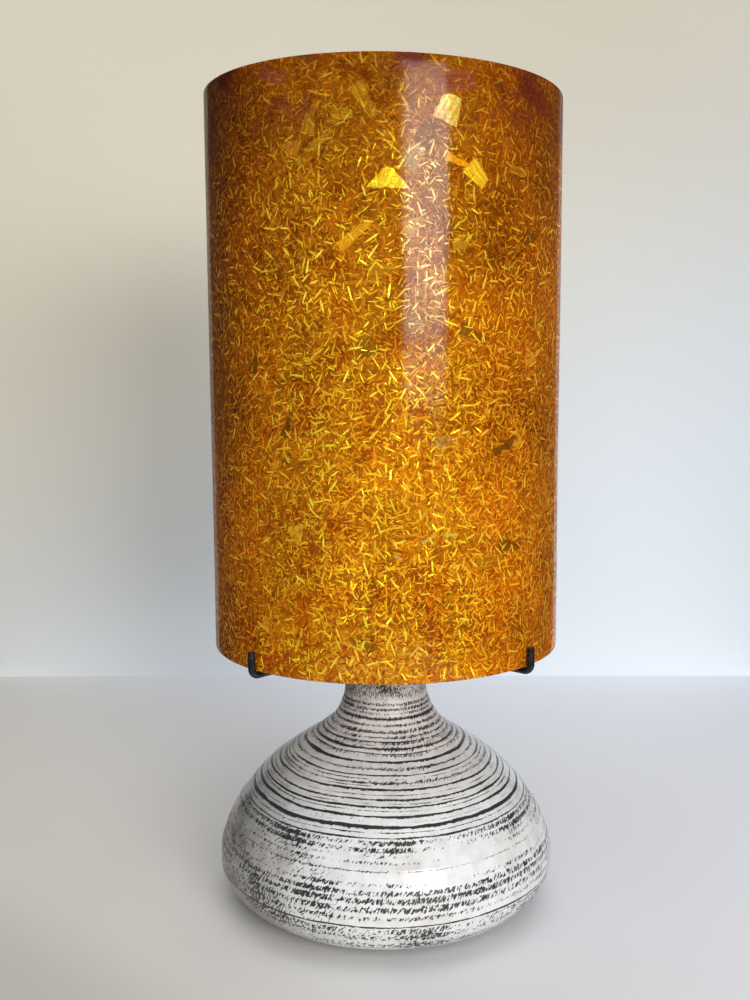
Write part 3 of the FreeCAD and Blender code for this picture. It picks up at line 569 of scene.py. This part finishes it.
# glazed clay. Lines are thin dark rings where the glaze breaks over the throwing ridges, and
# hatches are rows of short slanted strokes: height, half width in metres, how much shows
glaze = {
    "lines": (
        (0.139, 0.0003, 0.55), (0.1364, 0.0003, 0.5), (0.1213, 0.0003, 0.56), (0.1193, 0.0003, 0.5),
        (0.1164, 0.0004, 0.8), (0.1146, 0.0002, 0.42), (0.1131, 0.0003, 0.58), (0.1116, 0.0002, 0.4),
        (0.1098, 0.0004, 0.56), (0.1075, 0.0003, 0.54), (0.1057, 0.0003, 0.66), (0.1043, 0.0002, 0.44),
        (0.103, 0.0004, 0.86), (0.101, 0.0003, 0.74), (0.0979, 0.0006, 0.86), (0.0953, 0.0003, 0.6),
        (0.093, 0.0003, 0.78), (0.0917, 0.0003, 0.6), (0.0901, 0.0003, 0.66), (0.0889, 0.0002, 0.52),
        (0.0875, 0.0004, 0.84), (0.0855, 0.0002, 0.54), (0.0837, 0.0004, 0.84), (0.0822, 0.0002, 0.5),
        (0.081, 0.0004, 0.84), (0.0795, 0.0003, 0.58), (0.0772, 0.0005, 0.88), (0.075, 0.0002, 0.48),
        (0.073, 0.0007, 0.96), (0.0708, 0.0003, 0.56), (0.0685, 0.0004, 0.76), (0.0544, 0.0003, 0.54),
        (0.0272, 0.0005, 0.78),
    ),
    "hatches": (
        (0.141, 0.004, 0.46), (0.132, 0.0048, 0.46), (0.124, 0.0008, 0.54), (0.1213, 0.0008, 0.48),
        (0.119, 0.0006, 0.36), (0.1164, 0.0008, 0.56), (0.1131, 0.0006, 0.5), (0.11, 0.0008, 0.56),
        (0.1075, 0.0006, 0.42), (0.1053, 0.0006, 0.5), (0.103, 0.0008, 0.5), (0.1005, 0.0007, 0.46),
        (0.0953, 0.0006, 0.46), (0.0901, 0.0006, 0.44), (0.0663, 0.0009, 0.58), (0.0633, 0.001, 0.6),
        (0.0607, 0.0007, 0.34), (0.0581, 0.0006, 0.46), (0.0544, 0.0006, 0.42), (0.0481, 0.0009, 0.48),
        (0.0443, 0.0012, 0.64), (0.0406, 0.0013, 0.62), (0.0362, 0.0013, 0.54), (0.0318, 0.001, 0.46),
        (0.0243, 0.0016, 0.46), (0.0205, 0.0018, 0.44), (0.014, 0.002, 0.38), (0.009, 0.0014, 0.32),
    ),
    "white": (0.75, 0.76, 0.755),
    "rose": (0.74, 0.68, 0.64),
    "bare": (0.03, 0.029, 0.028),
    "tan": (0.44, 0.35, 0.27),
    # the colour that paints shade over the left of the pot
    "leftShade": (0.18, 0.155, 0.13),
    "slant": 0.5,  # how far a stroke leans to the right as it rises
    "drift": 0.0022,  # how far a line wanders slowly, and how far its edge is ragged
    "ragged": 0.0009,
    "leftSide": (0.0, -0.075),  # across, from where on the pot is more thickly marked
    "barePatch": (0.038, -0.088, 0.056),  # middle of the nearly bare patch
    "bareReach": (0.022, 0.046, 0.42, 0.0),
    "warmAt": (0.07, 0.125),  # heights between which the glaze turns rose
    # painted shadow along the foot, where the pot meets the table
    "footShade": (0.001, 0.013, 0.55, 1.0),
    "leftShadeFrom": 0.03,  # height below which the painted shade reaches further round
    "leftShadeAt": (-0.028, -0.1),
    "neckDry": (0.095, 0.125, 0.14, 0.5),  # heights, and how rough the glaze is there
    "clayDry": (0.0, 1.0, 0.14, 0.42),
    "depth": 0.0004,
}


def nearest(tree, level, rows, core, reach):
    # how strongly the nearest row shows at a height
    shown = 0.0
    for height, half, share in rows:
        away = sums(tree, "ABSOLUTE", minus(tree, level, height))
        row = ramp(tree, away, half * core, half * reach, share, 0.0, smooth=False)
        shown = sums(tree, "MAXIMUM", shown, row)
    return shown


def glazedClay():
    material, tree, shader = paint("glazed_clay", {
        "IOR": 1.5, "Coat Weight": 0.18, "Coat Roughness": 0.12, "Coat IOR": 1.4})
    place, parts, along = roundWall(tree)
    drift = minus(tree, noise(tree, place, 14, 2.0, (1, 1, 0.3)), 0.5)
    ragged = minus(tree, noise(tree, place, 800, 3.0, (1, 1, 1.2)), 0.5)
    level = plus(tree, parts[2], plus(tree, times(
        tree, drift, glaze["drift"]), times(tree, ragged, glaze["ragged"])))
    streaks = minus(tree, noise(tree, place, 60, 4.0, (1, 1, 16), rough=0.62), 0.5)
    runs = minus(tree, noise(tree, place, 34, 3.0, (1, 1, 5), rough=0.6), 0.5)
    # the left of the pot is more thickly marked, and these extra marks also paint in shade there; a patch at
    # the front right is nearly bare
    left = ramp(tree, parts[0], *glaze["leftSide"])
    lines = nearest(tree, level, glaze["lines"], 0.0, 2.1)
    field = plus(tree, lines, times(tree, streaks, 1.15))
    field = plus(tree, field, times(tree, runs, 0.55))
    field = plus(tree, field, plus(tree, times(
        tree, ragged, 0.35), times(tree, left, 0.05)))
    dark = ramp(tree, field, 0.45, 0.52)
    patch = vectors(tree, "SUBTRACT", place, glaze["barePatch"])
    patch = vectors(tree, "MULTIPLY", patch, (1, 1, 3.2))
    away = add(tree, "VectorMath", {0: patch}, operation="LENGTH").outputs["Value"]
    bare = ramp(tree, away, *glaze["bareReach"])
    clusters = minus(tree, noise(tree, place, 30, 3.0, (1, 1, 1.6)), 0.5)
    hatches = nearest(tree, level, glaze["hatches"], 0.7, 1.7)
    # more marks low at the left, which also paint in shade there
    leftLowMarks = times(tree, left, ramp(tree, parts[2], 0.066, 0.052, 0.0, 0.36))
    hatches = sums(tree, "MAXIMUM", hatches, leftLowMarks)
    lean = times(tree, parts[2], glaze["slant"])
    leaning = add(tree, "VectorMath", {0: along, "Scale": lean}, operation="SCALE").outputs["Vector"]
    slanted = vectors(tree, "SUBTRACT", place, leaning)
    strokes = minus(tree, noise(tree, slanted, 900, 2.0, (1, 1, 0.5), rough=0.6), 0.5)
    hatched = minus(tree, plus(tree, hatches, times(tree, clusters, 1.3)), bare)
    hatched = plus(tree, hatched, times(tree, left, 0.06))
    hatched = minus(tree, hatched, times(tree, strokes, 2.6))
    dark = sums(tree, "MAXIMUM", dark, ramp(tree, hatched, 0.47, 0.6))
    warm = times(tree, ramp(tree, parts[2], *glaze["warmAt"]), 0.85)
    body = blend(tree, warm, glaze["white"], glaze["rose"])
    # tan mottling all over, and more tan low at the right
    tanShare = plus(tree, noise(tree, place, 26, 4.0), times(tree, ramp(
        tree, parts[0], 0.045, 0.095), ramp(tree, parts[2], 0.045, 0.02, 0.0, 0.16)))
    body = blend(tree, ramp(tree, tanShare, 0.56, 0.76, 0.0, 0.45), body, glaze["tan"])
    grey = ramp(tree, noise(tree, place, 130, 4.0), 0.35, 0.75, 1.0, 0.84)
    # random grey mottling, and painted shadow towards the foot
    foot = ramp(tree, parts[2], *glaze["footShade"])
    body = dimmed(tree, body, times(tree, grey, foot))
    # painted shade at the left, reaching further round near the foot, where the belly curves under
    low = times(tree, sums(tree, "MAXIMUM", minus(
        tree, glaze["leftShadeFrom"], parts[2]), 0.0), 0.8)
    leftShadeShare = ramp(tree, minus(tree, parts[0], low), *glaze["leftShadeAt"])
    leftShadeShare = times(tree, leftShadeShare, ramp(tree, noise(tree, place, 90, 4.0), 0.2, 0.8, 0.7, 1.0))
    body = blend(tree, leftShadeShare, body, glaze["leftShade"], "MULTIPLY")
    body = blend(tree, dark, body, glaze["bare"])
    feed(shader, "Base Color", body)
    # the neck is drier than the belly, and the dark clay is drier than the glaze
    dry = sums(tree, "MAXIMUM", ramp(tree, parts[2], *glaze["neckDry"]), ramp(tree, dark, *glaze["clayDry"]))
    feed(shader, "Roughness", dry)
    swell = noise(tree, place, 70, 2.0)
    relief = minus(tree, times(tree, swell, 0.6), times(tree, dark, 0.25))
    bump(tree, shader, relief, glaze["depth"])
    return material


materials = {name: plainFinish(name, look) for name, look in finishes.items()}
materials["bulb_clear_glass"] = clearGlass()
materials["amber_resin"] = amberResin()
materials["glazed_clay"] = glazedClay()

slotOf = {part["node"]: part["material_slot"] for part in frame["record"]["subparts"]}
for name, node in frame["nodes"].items():
    node.data.materials.clear()
    node.data.materials.append(materials[slotOf[name]])
print("materials:", len(materials))


# a piece from a closed outline turned about the upright axis; shape gives the point for
# an outline point (radius, height) at an angle, so the piece needn't be quite round
def turnedPiece(name, outline, turns, slot, shape, shares=None):
    count = len(outline)
    points, faces = [], []
    for step in range(turns):
        angle = 2 * math.pi * step / turns
        for index, (radius, height) in enumerate(outline):
            points.append(shape(index, radius, height, angle))
    for step in range(turns):
        for index in range(count):
            after, beside = (index + 1) % count, (step + 1) % turns
            faces.append((step * count + index, beside * count + index,
                          beside * count + after, step * count + after))
    mesh = bpy.data.meshes.new(name)
    mesh.from_pydata(points, [], faces)
    layer = mesh.uv_layers.new(name="OFBake")
    for loop, spot in enumerate(unrolled(outline, turns, shares)):
        layer.data[loop].uv = spot
    mesh.polygons.foreach_set("use_smooth", [True] * len(mesh.polygons))
    mesh.update()
    mesh.materials.append(materials[slot])
    made = bpy.data.objects.new(name, mesh)
    link(made)
    return made


def unrolled(outline, turns, shares):
    # the picture that the surface unrolls to: the turn runs along u and the outline along v
    count = len(outline)
    steps = []
    for index in range(count):
        step = math.dist(outline[index], outline[(index + 1) % count])
        steps.append(step * (shares[index] if shares else 1.0))
    total = sum(steps)
    marks = [0.0]
    for step in steps:
        marks.append(marks[-1] + step / total)
    spots = []
    for step in range(turns):
        left, right = step / turns, (step + 1) / turns
        for index in range(count):
            low, high = marks[index], marks[index + 1]
            spots += [(left, low), (right, low), (right, high), (left, high)]
    return spots


def between(start, end, share):
    return tuple(low + (high - low) * share for low, high in zip(start, end))


def evenly(path, gap):
    # points at even distances along a path
    lengths = [0.0]
    for a, b in zip(path, path[1:]):
        lengths.append(lengths[-1] + math.dist(a, b))
    count = max(2, round(lengths[-1] / gap))
    made, at = [], 0
    for step in range(count + 1):
        want = lengths[-1] * step / count
        while at < len(path) - 2 and lengths[at + 1] < want:
            at += 1
        run = lengths[at + 1] - lengths[at]
        share = (want - lengths[at]) / run if run else 0.0
        made.append(between(path[at], path[at + 1], share))
    return made


def fadeIn(height, low, high, run):
    # 0 outside low and high, and 1 once the run from either of them is over
    share = max(0.0, min(1.0, (height - low) / run, (high - height) / run))
    return share * share * (3 - 2 * share)


# the thrown base: the solid's own outline with shallow throwing rings on the outside
thrown = {
    "turns": 240,
    "outerGap": 0.00062,
    "innerGap": 0.004,
    "sampleGap": 0.00025,  # between the heights at which the solid is measured
    "sampleInset": 0.00002,
    "sampleAngle": 25,  # degrees from the front, clear of the cable inlet
    "sampleFrom": 0.2,  # how far out the measuring starts
    "innerShare": 0.25,  # how much of the unrolled picture the inside gets
    "tubePlay": 0.0003,
    "webMargin": 0.002,  # further out than this from the tube is inside wall
    "mouthRim": 0.002,
    "plainEnd": 0.004,  # foot and mouth stay without rings
    "ring": 0.00022,  # height of a ring over the wall
    "ringWidth": 0.0011,
    "wobble": 0.0004,  # how far a ring climbs and falls round the pot
    "ripple": 0.00025,  # unevenness between the rings, and how fast it changes upward
    "rippleRates": (420, 130),
    "leftSwell": 0.0011,  # how much further out the left wall stands
    "swellRange": (0.004, 0.115, 0.02),  # lowest, highest, and how softly it starts
    "boreRadius": 0.0052,
    "boreLong": 0.04,
}


def wallRadius(tree, height, fromInside):
    slant = math.radians(thrown["sampleAngle"])
    out = Vector((math.sin(slant), -math.cos(slant), 0))
    start = Vector((0, 0, height)) + out * (0 if fromInside else thrown["sampleFrom"])
    hit = tree.ray_cast(start, out if fromInside else -out)[0]
    return None if hit is None else math.hypot(hit.x, hit.y)


def thrownBase():
    low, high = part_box("ceramic_base")
    solid = BVHTree.FromObject(frame["nodes"]["ceramic_base"], bpy.context.evaluated_depsgraph_get())
    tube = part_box("threaded_tube")[1].x + thrown["tubePlay"]
    web = None
    outer, inner = [], []
    inset = thrown["sampleInset"]
    count = int((high.z - low.z) / thrown["sampleGap"])
    for step in range(count + 1):
        height = low.z + inset + (high.z - low.z - 2 * inset) * step / count
        out, inside = wallRadius(solid, height, False), wallRadius(solid, height, True)
        outer.append((out, height))
        if inside is not None and inside > tube + thrown["webMargin"]:
            inner.append((inside, height))
            web = height
    outer = evenly(outer, thrown["outerGap"])
    inner = evenly(inner[::-1], thrown["innerGap"])
    top = outer[-1][1]
    bridge = [(outer[-1][0] - thrown["mouthRim"], top), (tube, top), (tube, web)]
    outline = outer + bridge + inner
    shares = [1.0] * len(outer) + [thrown["innerShare"]] * (len(outline) - len(outer))
    rings = [line[0] for line in glaze["lines"]]
    draw = random.Random(11)
    phases = [draw.uniform(0, 2 * math.pi) for row in rings]
    slopes = []
    for index in range(len(outer)):
        before, after = outer[max(index - 1, 0)], outer[min(index + 1, len(outer) - 1)]
        run = math.dist(before, after)
        slopes.append(((after[1] - before[1]) / run, -(after[0] - before[0]) / run))

    plain = thrown["plainEnd"]
    upRate, turnRate = thrown["rippleRates"]

    def shape(index, radius, height, angle):
        lift = 0.0
        if index < len(outer) and low.z + plain < height < high.z - plain:
            for ring, phase in zip(rings, phases):
                away = height - ring - thrown["wobble"] * math.sin(angle + phase)
                if abs(away) < 3 * thrown["ringWidth"]:
                    lift += thrown["ring"] * math.exp(-(away / thrown["ringWidth"]) ** 2)
            ripple = math.sin(height * upRate + angle)
            lift += thrown["ripple"] * ripple * math.sin(height * turnRate - 2 * angle)
            leftward = max(0.0, -math.sin(angle)) ** 2
            lift += thrown["leftSwell"] * leftward * fadeIn(height, *thrown["swellRange"])
            radius += lift * slopes[index][0]
            height += lift * slopes[index][1]
        return radius * math.sin(angle), radius * math.cos(angle), height

    piece = turnedPiece("thrown_base", outline, thrown["turns"], "glazed_clay", shape, shares)
    boreHole(piece)
    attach(piece, "base")
    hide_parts("ceramic_base")


def boreHole(piece):
    low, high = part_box("cable_grommet")
    centre = (low + high) / 2
    bpy.ops.mesh.primitive_cylinder_add(vertices=48, radius=thrown["boreRadius"], depth=thrown["boreLong"],
                                        location=centre, rotation=(math.pi / 2, 0, 0))
    drill = bpy.context.object
    cut = piece.modifiers.new("bore", "BOOLEAN")
    cut.operation = "DIFFERENCE"
    cut.solver = "EXACT"
    cut.object = drill
    graph = bpy.context.evaluated_depsgraph_get()
    mesh = bpy.data.meshes.new_from_object(piece.evaluated_get(graph))
    piece.modifiers.clear()
    piece.data = mesh
    bpy.data.objects.remove(drill)


thrownBase()
print("thrown base")


# the shade: a cast tube with softened rims, cut a little out of level at the top
shadeShape = {
    "turns": 256,
    "inside": 0.097,  # inner radius
    "wallGap": 0.004,
    "innerShare": 0.5,  # how much of the unrolled picture the inside gets
    "rim": 0.0007,  # radius of the softened rims
    "rimSteps": 4,
    "rightDrop": 0.0019,  # how much lower the top is at the right
    "sway": 0.00022,  # how far the cast wall wanders from round
}


def castShade():
    low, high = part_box("shade")
    outside = high.x
    inside, rim, steps = shadeShape["inside"], shadeShape["rim"], shadeShape["rimSteps"]
    wall = evenly([(outside, low.z + rim), (outside, high.z - rim)], shadeShape["wallGap"])
    back = evenly([(inside, high.z - rim), (inside, low.z + rim)], shadeShape["wallGap"])
    bend = []
    for step in range(1, steps):
        turn = math.pi / 2 * step / steps
        bend.append((rim * (1 - math.cos(turn)), rim * (1 - math.sin(turn))))
    outline = wall[:]
    outline += [(outside - near, high.z - far) for near, far in bend]
    outline += [(outside - rim, high.z), (inside + rim, high.z)]
    outline += [(inside + near, high.z - far) for near, far in bend[::-1]]
    outline += back
    outline += [(inside + near, low.z + far) for near, far in bend]
    outline += [(inside + rim, low.z), (outside - rim, low.z)]
    outline += [(outside - near, low.z + far) for near, far in bend[::-1]]
    shares = [1.0] * len(wall) + [shadeShape["innerShare"]] * (len(outline) - len(wall))

    def shape(index, radius, height, angle):
        share = (height - low.z) / (high.z - low.z)
        height += -shadeShape["rightDrop"] * math.sin(angle) * max(0.0, share - 0.5) * 2
        wander = math.sin(2 * angle + 5 * share) + 0.5 * math.sin(5 * angle - 9 * share)
        radius += shadeShape["sway"] * wander * share * (1 - share) * 3  # none at the rims
        return radius * math.sin(angle), -radius * math.cos(angle), height

    piece = turnedPiece("cast_shade", outline, shadeShape["turns"], "amber_resin", shape, shares)
    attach(piece, "shade")
    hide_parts("shade")


castShade()
print("shade")


# screw threads and the grip: turned pieces whose walls go in and out. Outlines are (radius,
# height) and run up the outside and down the inside; gap is the distance between their points
tubeThread = {
    "outline": ((0.0045, 0.134), (0.005, 0.1345), (0.005, 0.1689), (0.0045, 0.1694),
                (0.0038, 0.1694), (0.0038, 0.134)),
    "gap": 0.00018, "turns": 72,
    "pitch": 0.001, "depth": 0.0005, "low": 0.1345, "high": 0.1689, "outside": 0.0044,
}
shellThread = {
    "outline": ((0.018, 0.2054), (0.018, 0.206), (0.0139, 0.206), (0.0139, 0.2204),
                (0.0134, 0.2204), (0.0134, 0.2054)),
    "gap": 0.00035, "turns": 120,
    "pitch": 0.00363, "depth": 0.00045, "low": 0.2068, "high": 0.2198, "outside": 0.0,
}
capThread = {
    "outline": ((0.0105, 0.2117), (0.013, 0.2142), (0.013, 0.2342), (0.0126, 0.2342),
                (0.0126, 0.2142), (0.0105, 0.2121)),
    "gap": 0.00035, "turns": 120,
    "pitch": 0.00363, "depth": 0.00045, "low": 0.2148, "high": 0.2262, "outside": 0.0,
    "bead": 0.00025, "beadAt": 0.2334, "beadWidth": 0.0005,
}
gripFlutes = {
    "outline": ((0.0182, 0.1847), (0.0197, 0.1847), (0.02, 0.185), (0.02, 0.2228), (0.01988, 0.22341),
                (0.01953, 0.22393), (0.01901, 0.22428), (0.0184, 0.2244), (0.015, 0.2244),
                (0.015, 0.206), (0.0182, 0.206)),
    "gap": 0.0008, "turns": 384,
    "count": 48, "depth": 0.0004, "low": 0.1965, "high": 0.219, "run": 0.0016, "outside": 0.0185,
}
threadSkin = 0.0001  # room over the wall that the thread is cut in


def closePoints(corners, gap):
    # the same closed outline with points no further apart than the gap
    made = []
    for start, end in zip(corners, corners[1:] + corners[:1]):
        count = max(1, math.ceil(math.dist(start, end) / gap))
        for step in range(count):
            made.append(between(start, end, step / count))
    return made


def threadedPiece(name, cut, body, slot, node):
    def shape(index, radius, height, angle):
        if cut["outside"] < radius < cut["outline"][2][0] + threadSkin:
            wave = 0.5 - 0.5 * math.cos(2 * math.pi * height / cut["pitch"] - angle)
            radius -= cut["depth"] * wave * fadeIn(height, cut["low"], cut["high"], cut["pitch"] * 0.5)
        if "bead" in cut:
            radius += cut["bead"] * math.exp(-((height - cut["beadAt"]) / cut["beadWidth"]) ** 2)
        return radius * math.sin(angle), -radius * math.cos(angle), height

    piece = turnedPiece(name, closePoints(cut["outline"], cut["gap"]), cut["turns"], slot, shape)
    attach(piece, body)
    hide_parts(node)


def flutedSleeve():
    def shape(index, radius, height, angle):
        if radius > gripFlutes["outside"]:
            wave = 0.5 - 0.5 * math.cos(gripFlutes["count"] * angle)
            fade = fadeIn(height, gripFlutes["low"], gripFlutes["high"], gripFlutes["run"])
            radius -= gripFlutes["depth"] * wave * fade
        return radius * math.sin(angle), -radius * math.cos(angle), height

    corners = closePoints(gripFlutes["outline"], gripFlutes["gap"])
    piece = turnedPiece("fluted_sleeve", corners, gripFlutes["turns"], "bakelite", shape)
    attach(piece, "base")
    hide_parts("holder_sleeve")


threadedPiece("thread_cut_tube", tubeThread, "base", "zinc_steel", "threaded_tube")
threadedPiece("rolled_screw_shell", shellThread, "base", "contact_brass", "screw_shell")
threadedPiece("rolled_bulb_cap", capThread, "bulb", "bulb_metal", "bulb_cap")
flutedSleeve()
print("threads and grip")


# floor, wall and lights
studio = {
    "wallY": 0.475,
    "wallTurn": 0.008,
    "ends": (-0.41, 0.4),  # of the table and of the wall behind it
    "tableFront": -0.75,
    "tableBack": 1.6,
    "wallTall": 3,
    "farFloor": 4.0,
    "farFloorDrop": 0.001,
    # a pale colour, a second one, and the line along which the first turns into the second:
    # the first is darker and warmer, painted shade away from the window, and the second paler
    # and cooler, painted light towards it; then the lines along which painted shade darkens it,
    # each with how much is left at its end
    "floor": {"from": (0.74, 0.71, 0.66), "to": (0.82, 0.84, 0.89),
              "start": (-0.2, -0.1, 0.0), "end": (0.16, 0.1, 0.0),
              # painted shadow of the lamp at the front left, and painted shade below the window that darkens
              # its pool of light
              "paintedShades": (((-0.0845, -0.0988, 0.0), (-0.1365, -0.1596, 0.0), 0.8),
                       ((0.05, -0.3, 0.0), (0.65, -1.7, 0.0), 0.25))},  # below the window
    "wall": {"from": (0.78, 0.73, 0.6), "to": (0.78, 0.84, 0.89),
             "start": (-0.1, 0.475, 0.53), "end": (0.12, 0.475, 0.1),
             # painted shade at the top right of the wall
             "paintedShades": (((0.0, 0.475, 0.3), (0.3, 0.475, 0.66), 0.84),)},
    "world": (0.9, 0.93, 1.0),
    "worldStrength": 0.1,
    "fade": (0.18, 0.4),  # share of the window's width and height over which it fades out
    "aim": (0, 0, 0.25),
    # degrees from the front, how far out, height of the middle, size, power, tint
    "lamps": {
        "window": (25, 2.0, 0.66, (1.1, 1.0), 43, (1.0, 0.985, 0.97)),
        "room": (8, 2.0, 1.0, (1.8, 1.6), 24, (1.0, 0.985, 0.96)),
        "ceiling": (0, 0.25, 2.3, (2.4, 2.0), 24, (0.95, 0.97, 1.0)),
        "leftSide": (-60, 2.0, 0.8, (1.8, 1.6), 2, (0.93, 0.96, 1.0)),
        "back": (165, 2.0, 1.1, (1.6, 1.4), 6, (0.93, 0.96, 1.0)),
    },
}


def lineRamp(tree, place, start, end, low=0.0, high=1.0):
    start, end = Vector(start), Vector(end)
    way = (end - start).normalized()
    along = vectors(tree, "DOT_PRODUCT", place, tuple(way))
    return ramp(tree, along, start.dot(way), end.dot(way), low, high)


def stagePlane(name, corners, tints, oneSided=False):
    mesh = bpy.data.meshes.new(name)
    mesh.from_pydata(corners, [], [(0, 1, 2, 3)])
    material, tree, shader = paint(name, {"Roughness": 0.7, "Specular IOR Level": 0.2})
    place = add(tree, "TexCoord").outputs["Object"]
    share = lineRamp(tree, place, tints["start"], tints["end"])
    pale = blend(tree, share, tints["from"], tints["to"])
    # lines of painted shade darken it
    for start, end, left in tints["paintedShades"]:
        pale = dimmed(tree, pale, lineRamp(tree, place, start, end, 1.0, left))
    mottle = ramp(tree, noise(tree, place, 3.0, 3.0), 0.3, 0.7, 1.0, 0.98)
    feed(shader, "Base Color", dimmed(tree, pale, mottle))
    if oneSided:
        # seen from behind, the wall is left out
        clear = add(tree, "BsdfTransparent").outputs[0]
        behind = add(tree, "NewGeometry").outputs["Backfacing"]
        mixed = add(tree, "MixShader", {0: behind, 1: shader.outputs[0], 2: clear})
        feed(tree.nodes["Material Output"], "Surface", mixed.outputs[0])
    mesh.materials.append(material)
    made = bpy.data.objects.new(name, mesh)
    link(made)
    return made


def areaLight(name, azimuth, reach, middle, size, power, tint):
    data = bpy.data.lights.new(name, "AREA")
    data.shape = "RECTANGLE"
    data.size, data.size_y = size
    data.energy = power
    data.color = tint
    made = bpy.data.objects.new(name, data)
    turn = math.radians(azimuth)
    place = Vector((reach * math.sin(turn), -reach * math.cos(turn), middle))
    made.location = place
    made.rotation_euler = (Vector(studio["aim"]) - place).to_track_quat("-Z", "Y").to_euler()
    made.visible_camera = False
    link(made)
    return made


def softenEdges(light):
    # the window fades out towards its sides and its sill
    light.data.use_nodes = True
    tree = light.data.node_tree
    parts = add(tree, "SeparateXYZ", {0: add(tree, "NewGeometry").outputs["Parametric"]}).outputs
    fade = 1.0
    for axis, width in enumerate(studio["fade"]):
        fade = times(tree, fade, ramp(tree, parts[axis], 0.0, width))
        fade = times(tree, fade, ramp(tree, parts[axis], 1.0, 1.0 - width))
    feed(tree.nodes["Emission"], "Strength", fade)


def flat(left, right, near, back, height):
    return [(left, near, height), (right, near, height), (right, back, height), (left, back, height)]


def makeStudio():
    y, turn = studio["wallY"], studio["wallTurn"]
    left, right = studio["ends"]
    front, rear, tall = studio["tableFront"], studio["tableBack"], studio["wallTall"]
    stagePlane("floor", flat(left, right, front, rear, 0), studio["floor"])
    far = studio["farFloor"]
    around = stagePlane("far_floor", flat(-far, far, -far, far, -studio["farFloorDrop"]), studio["floor"])
    around.visible_glossy = around.visible_diffuse = False  # only for looking from other sides
    stagePlane("wall", [(left, y - left * turn, 0), (right, y - right * turn, 0),
                        (right, y - right * turn, tall), (left, y - left * turn, tall)], studio["wall"], True)
    for name, lamp in studio["lamps"].items():
        light = areaLight(name, *lamp)
        if name == "window":
            softenEdges(light)
        else:
            light.visible_glossy = False  # it lightens the shadows and shows in no reflection
    world = bpy.data.worlds.new("room")
    world.use_nodes = True
    sky = world.node_tree.nodes["Background"]
    sky.inputs["Color"].default_value = colour(studio["world"])
    sky.inputs["Strength"].default_value = studio["worldStrength"]
    bpy.context.scene.world = world
    bpy.context.scene.view_settings.view_transform = "Standard"


makeStudio()
print("floor, wall and lights")
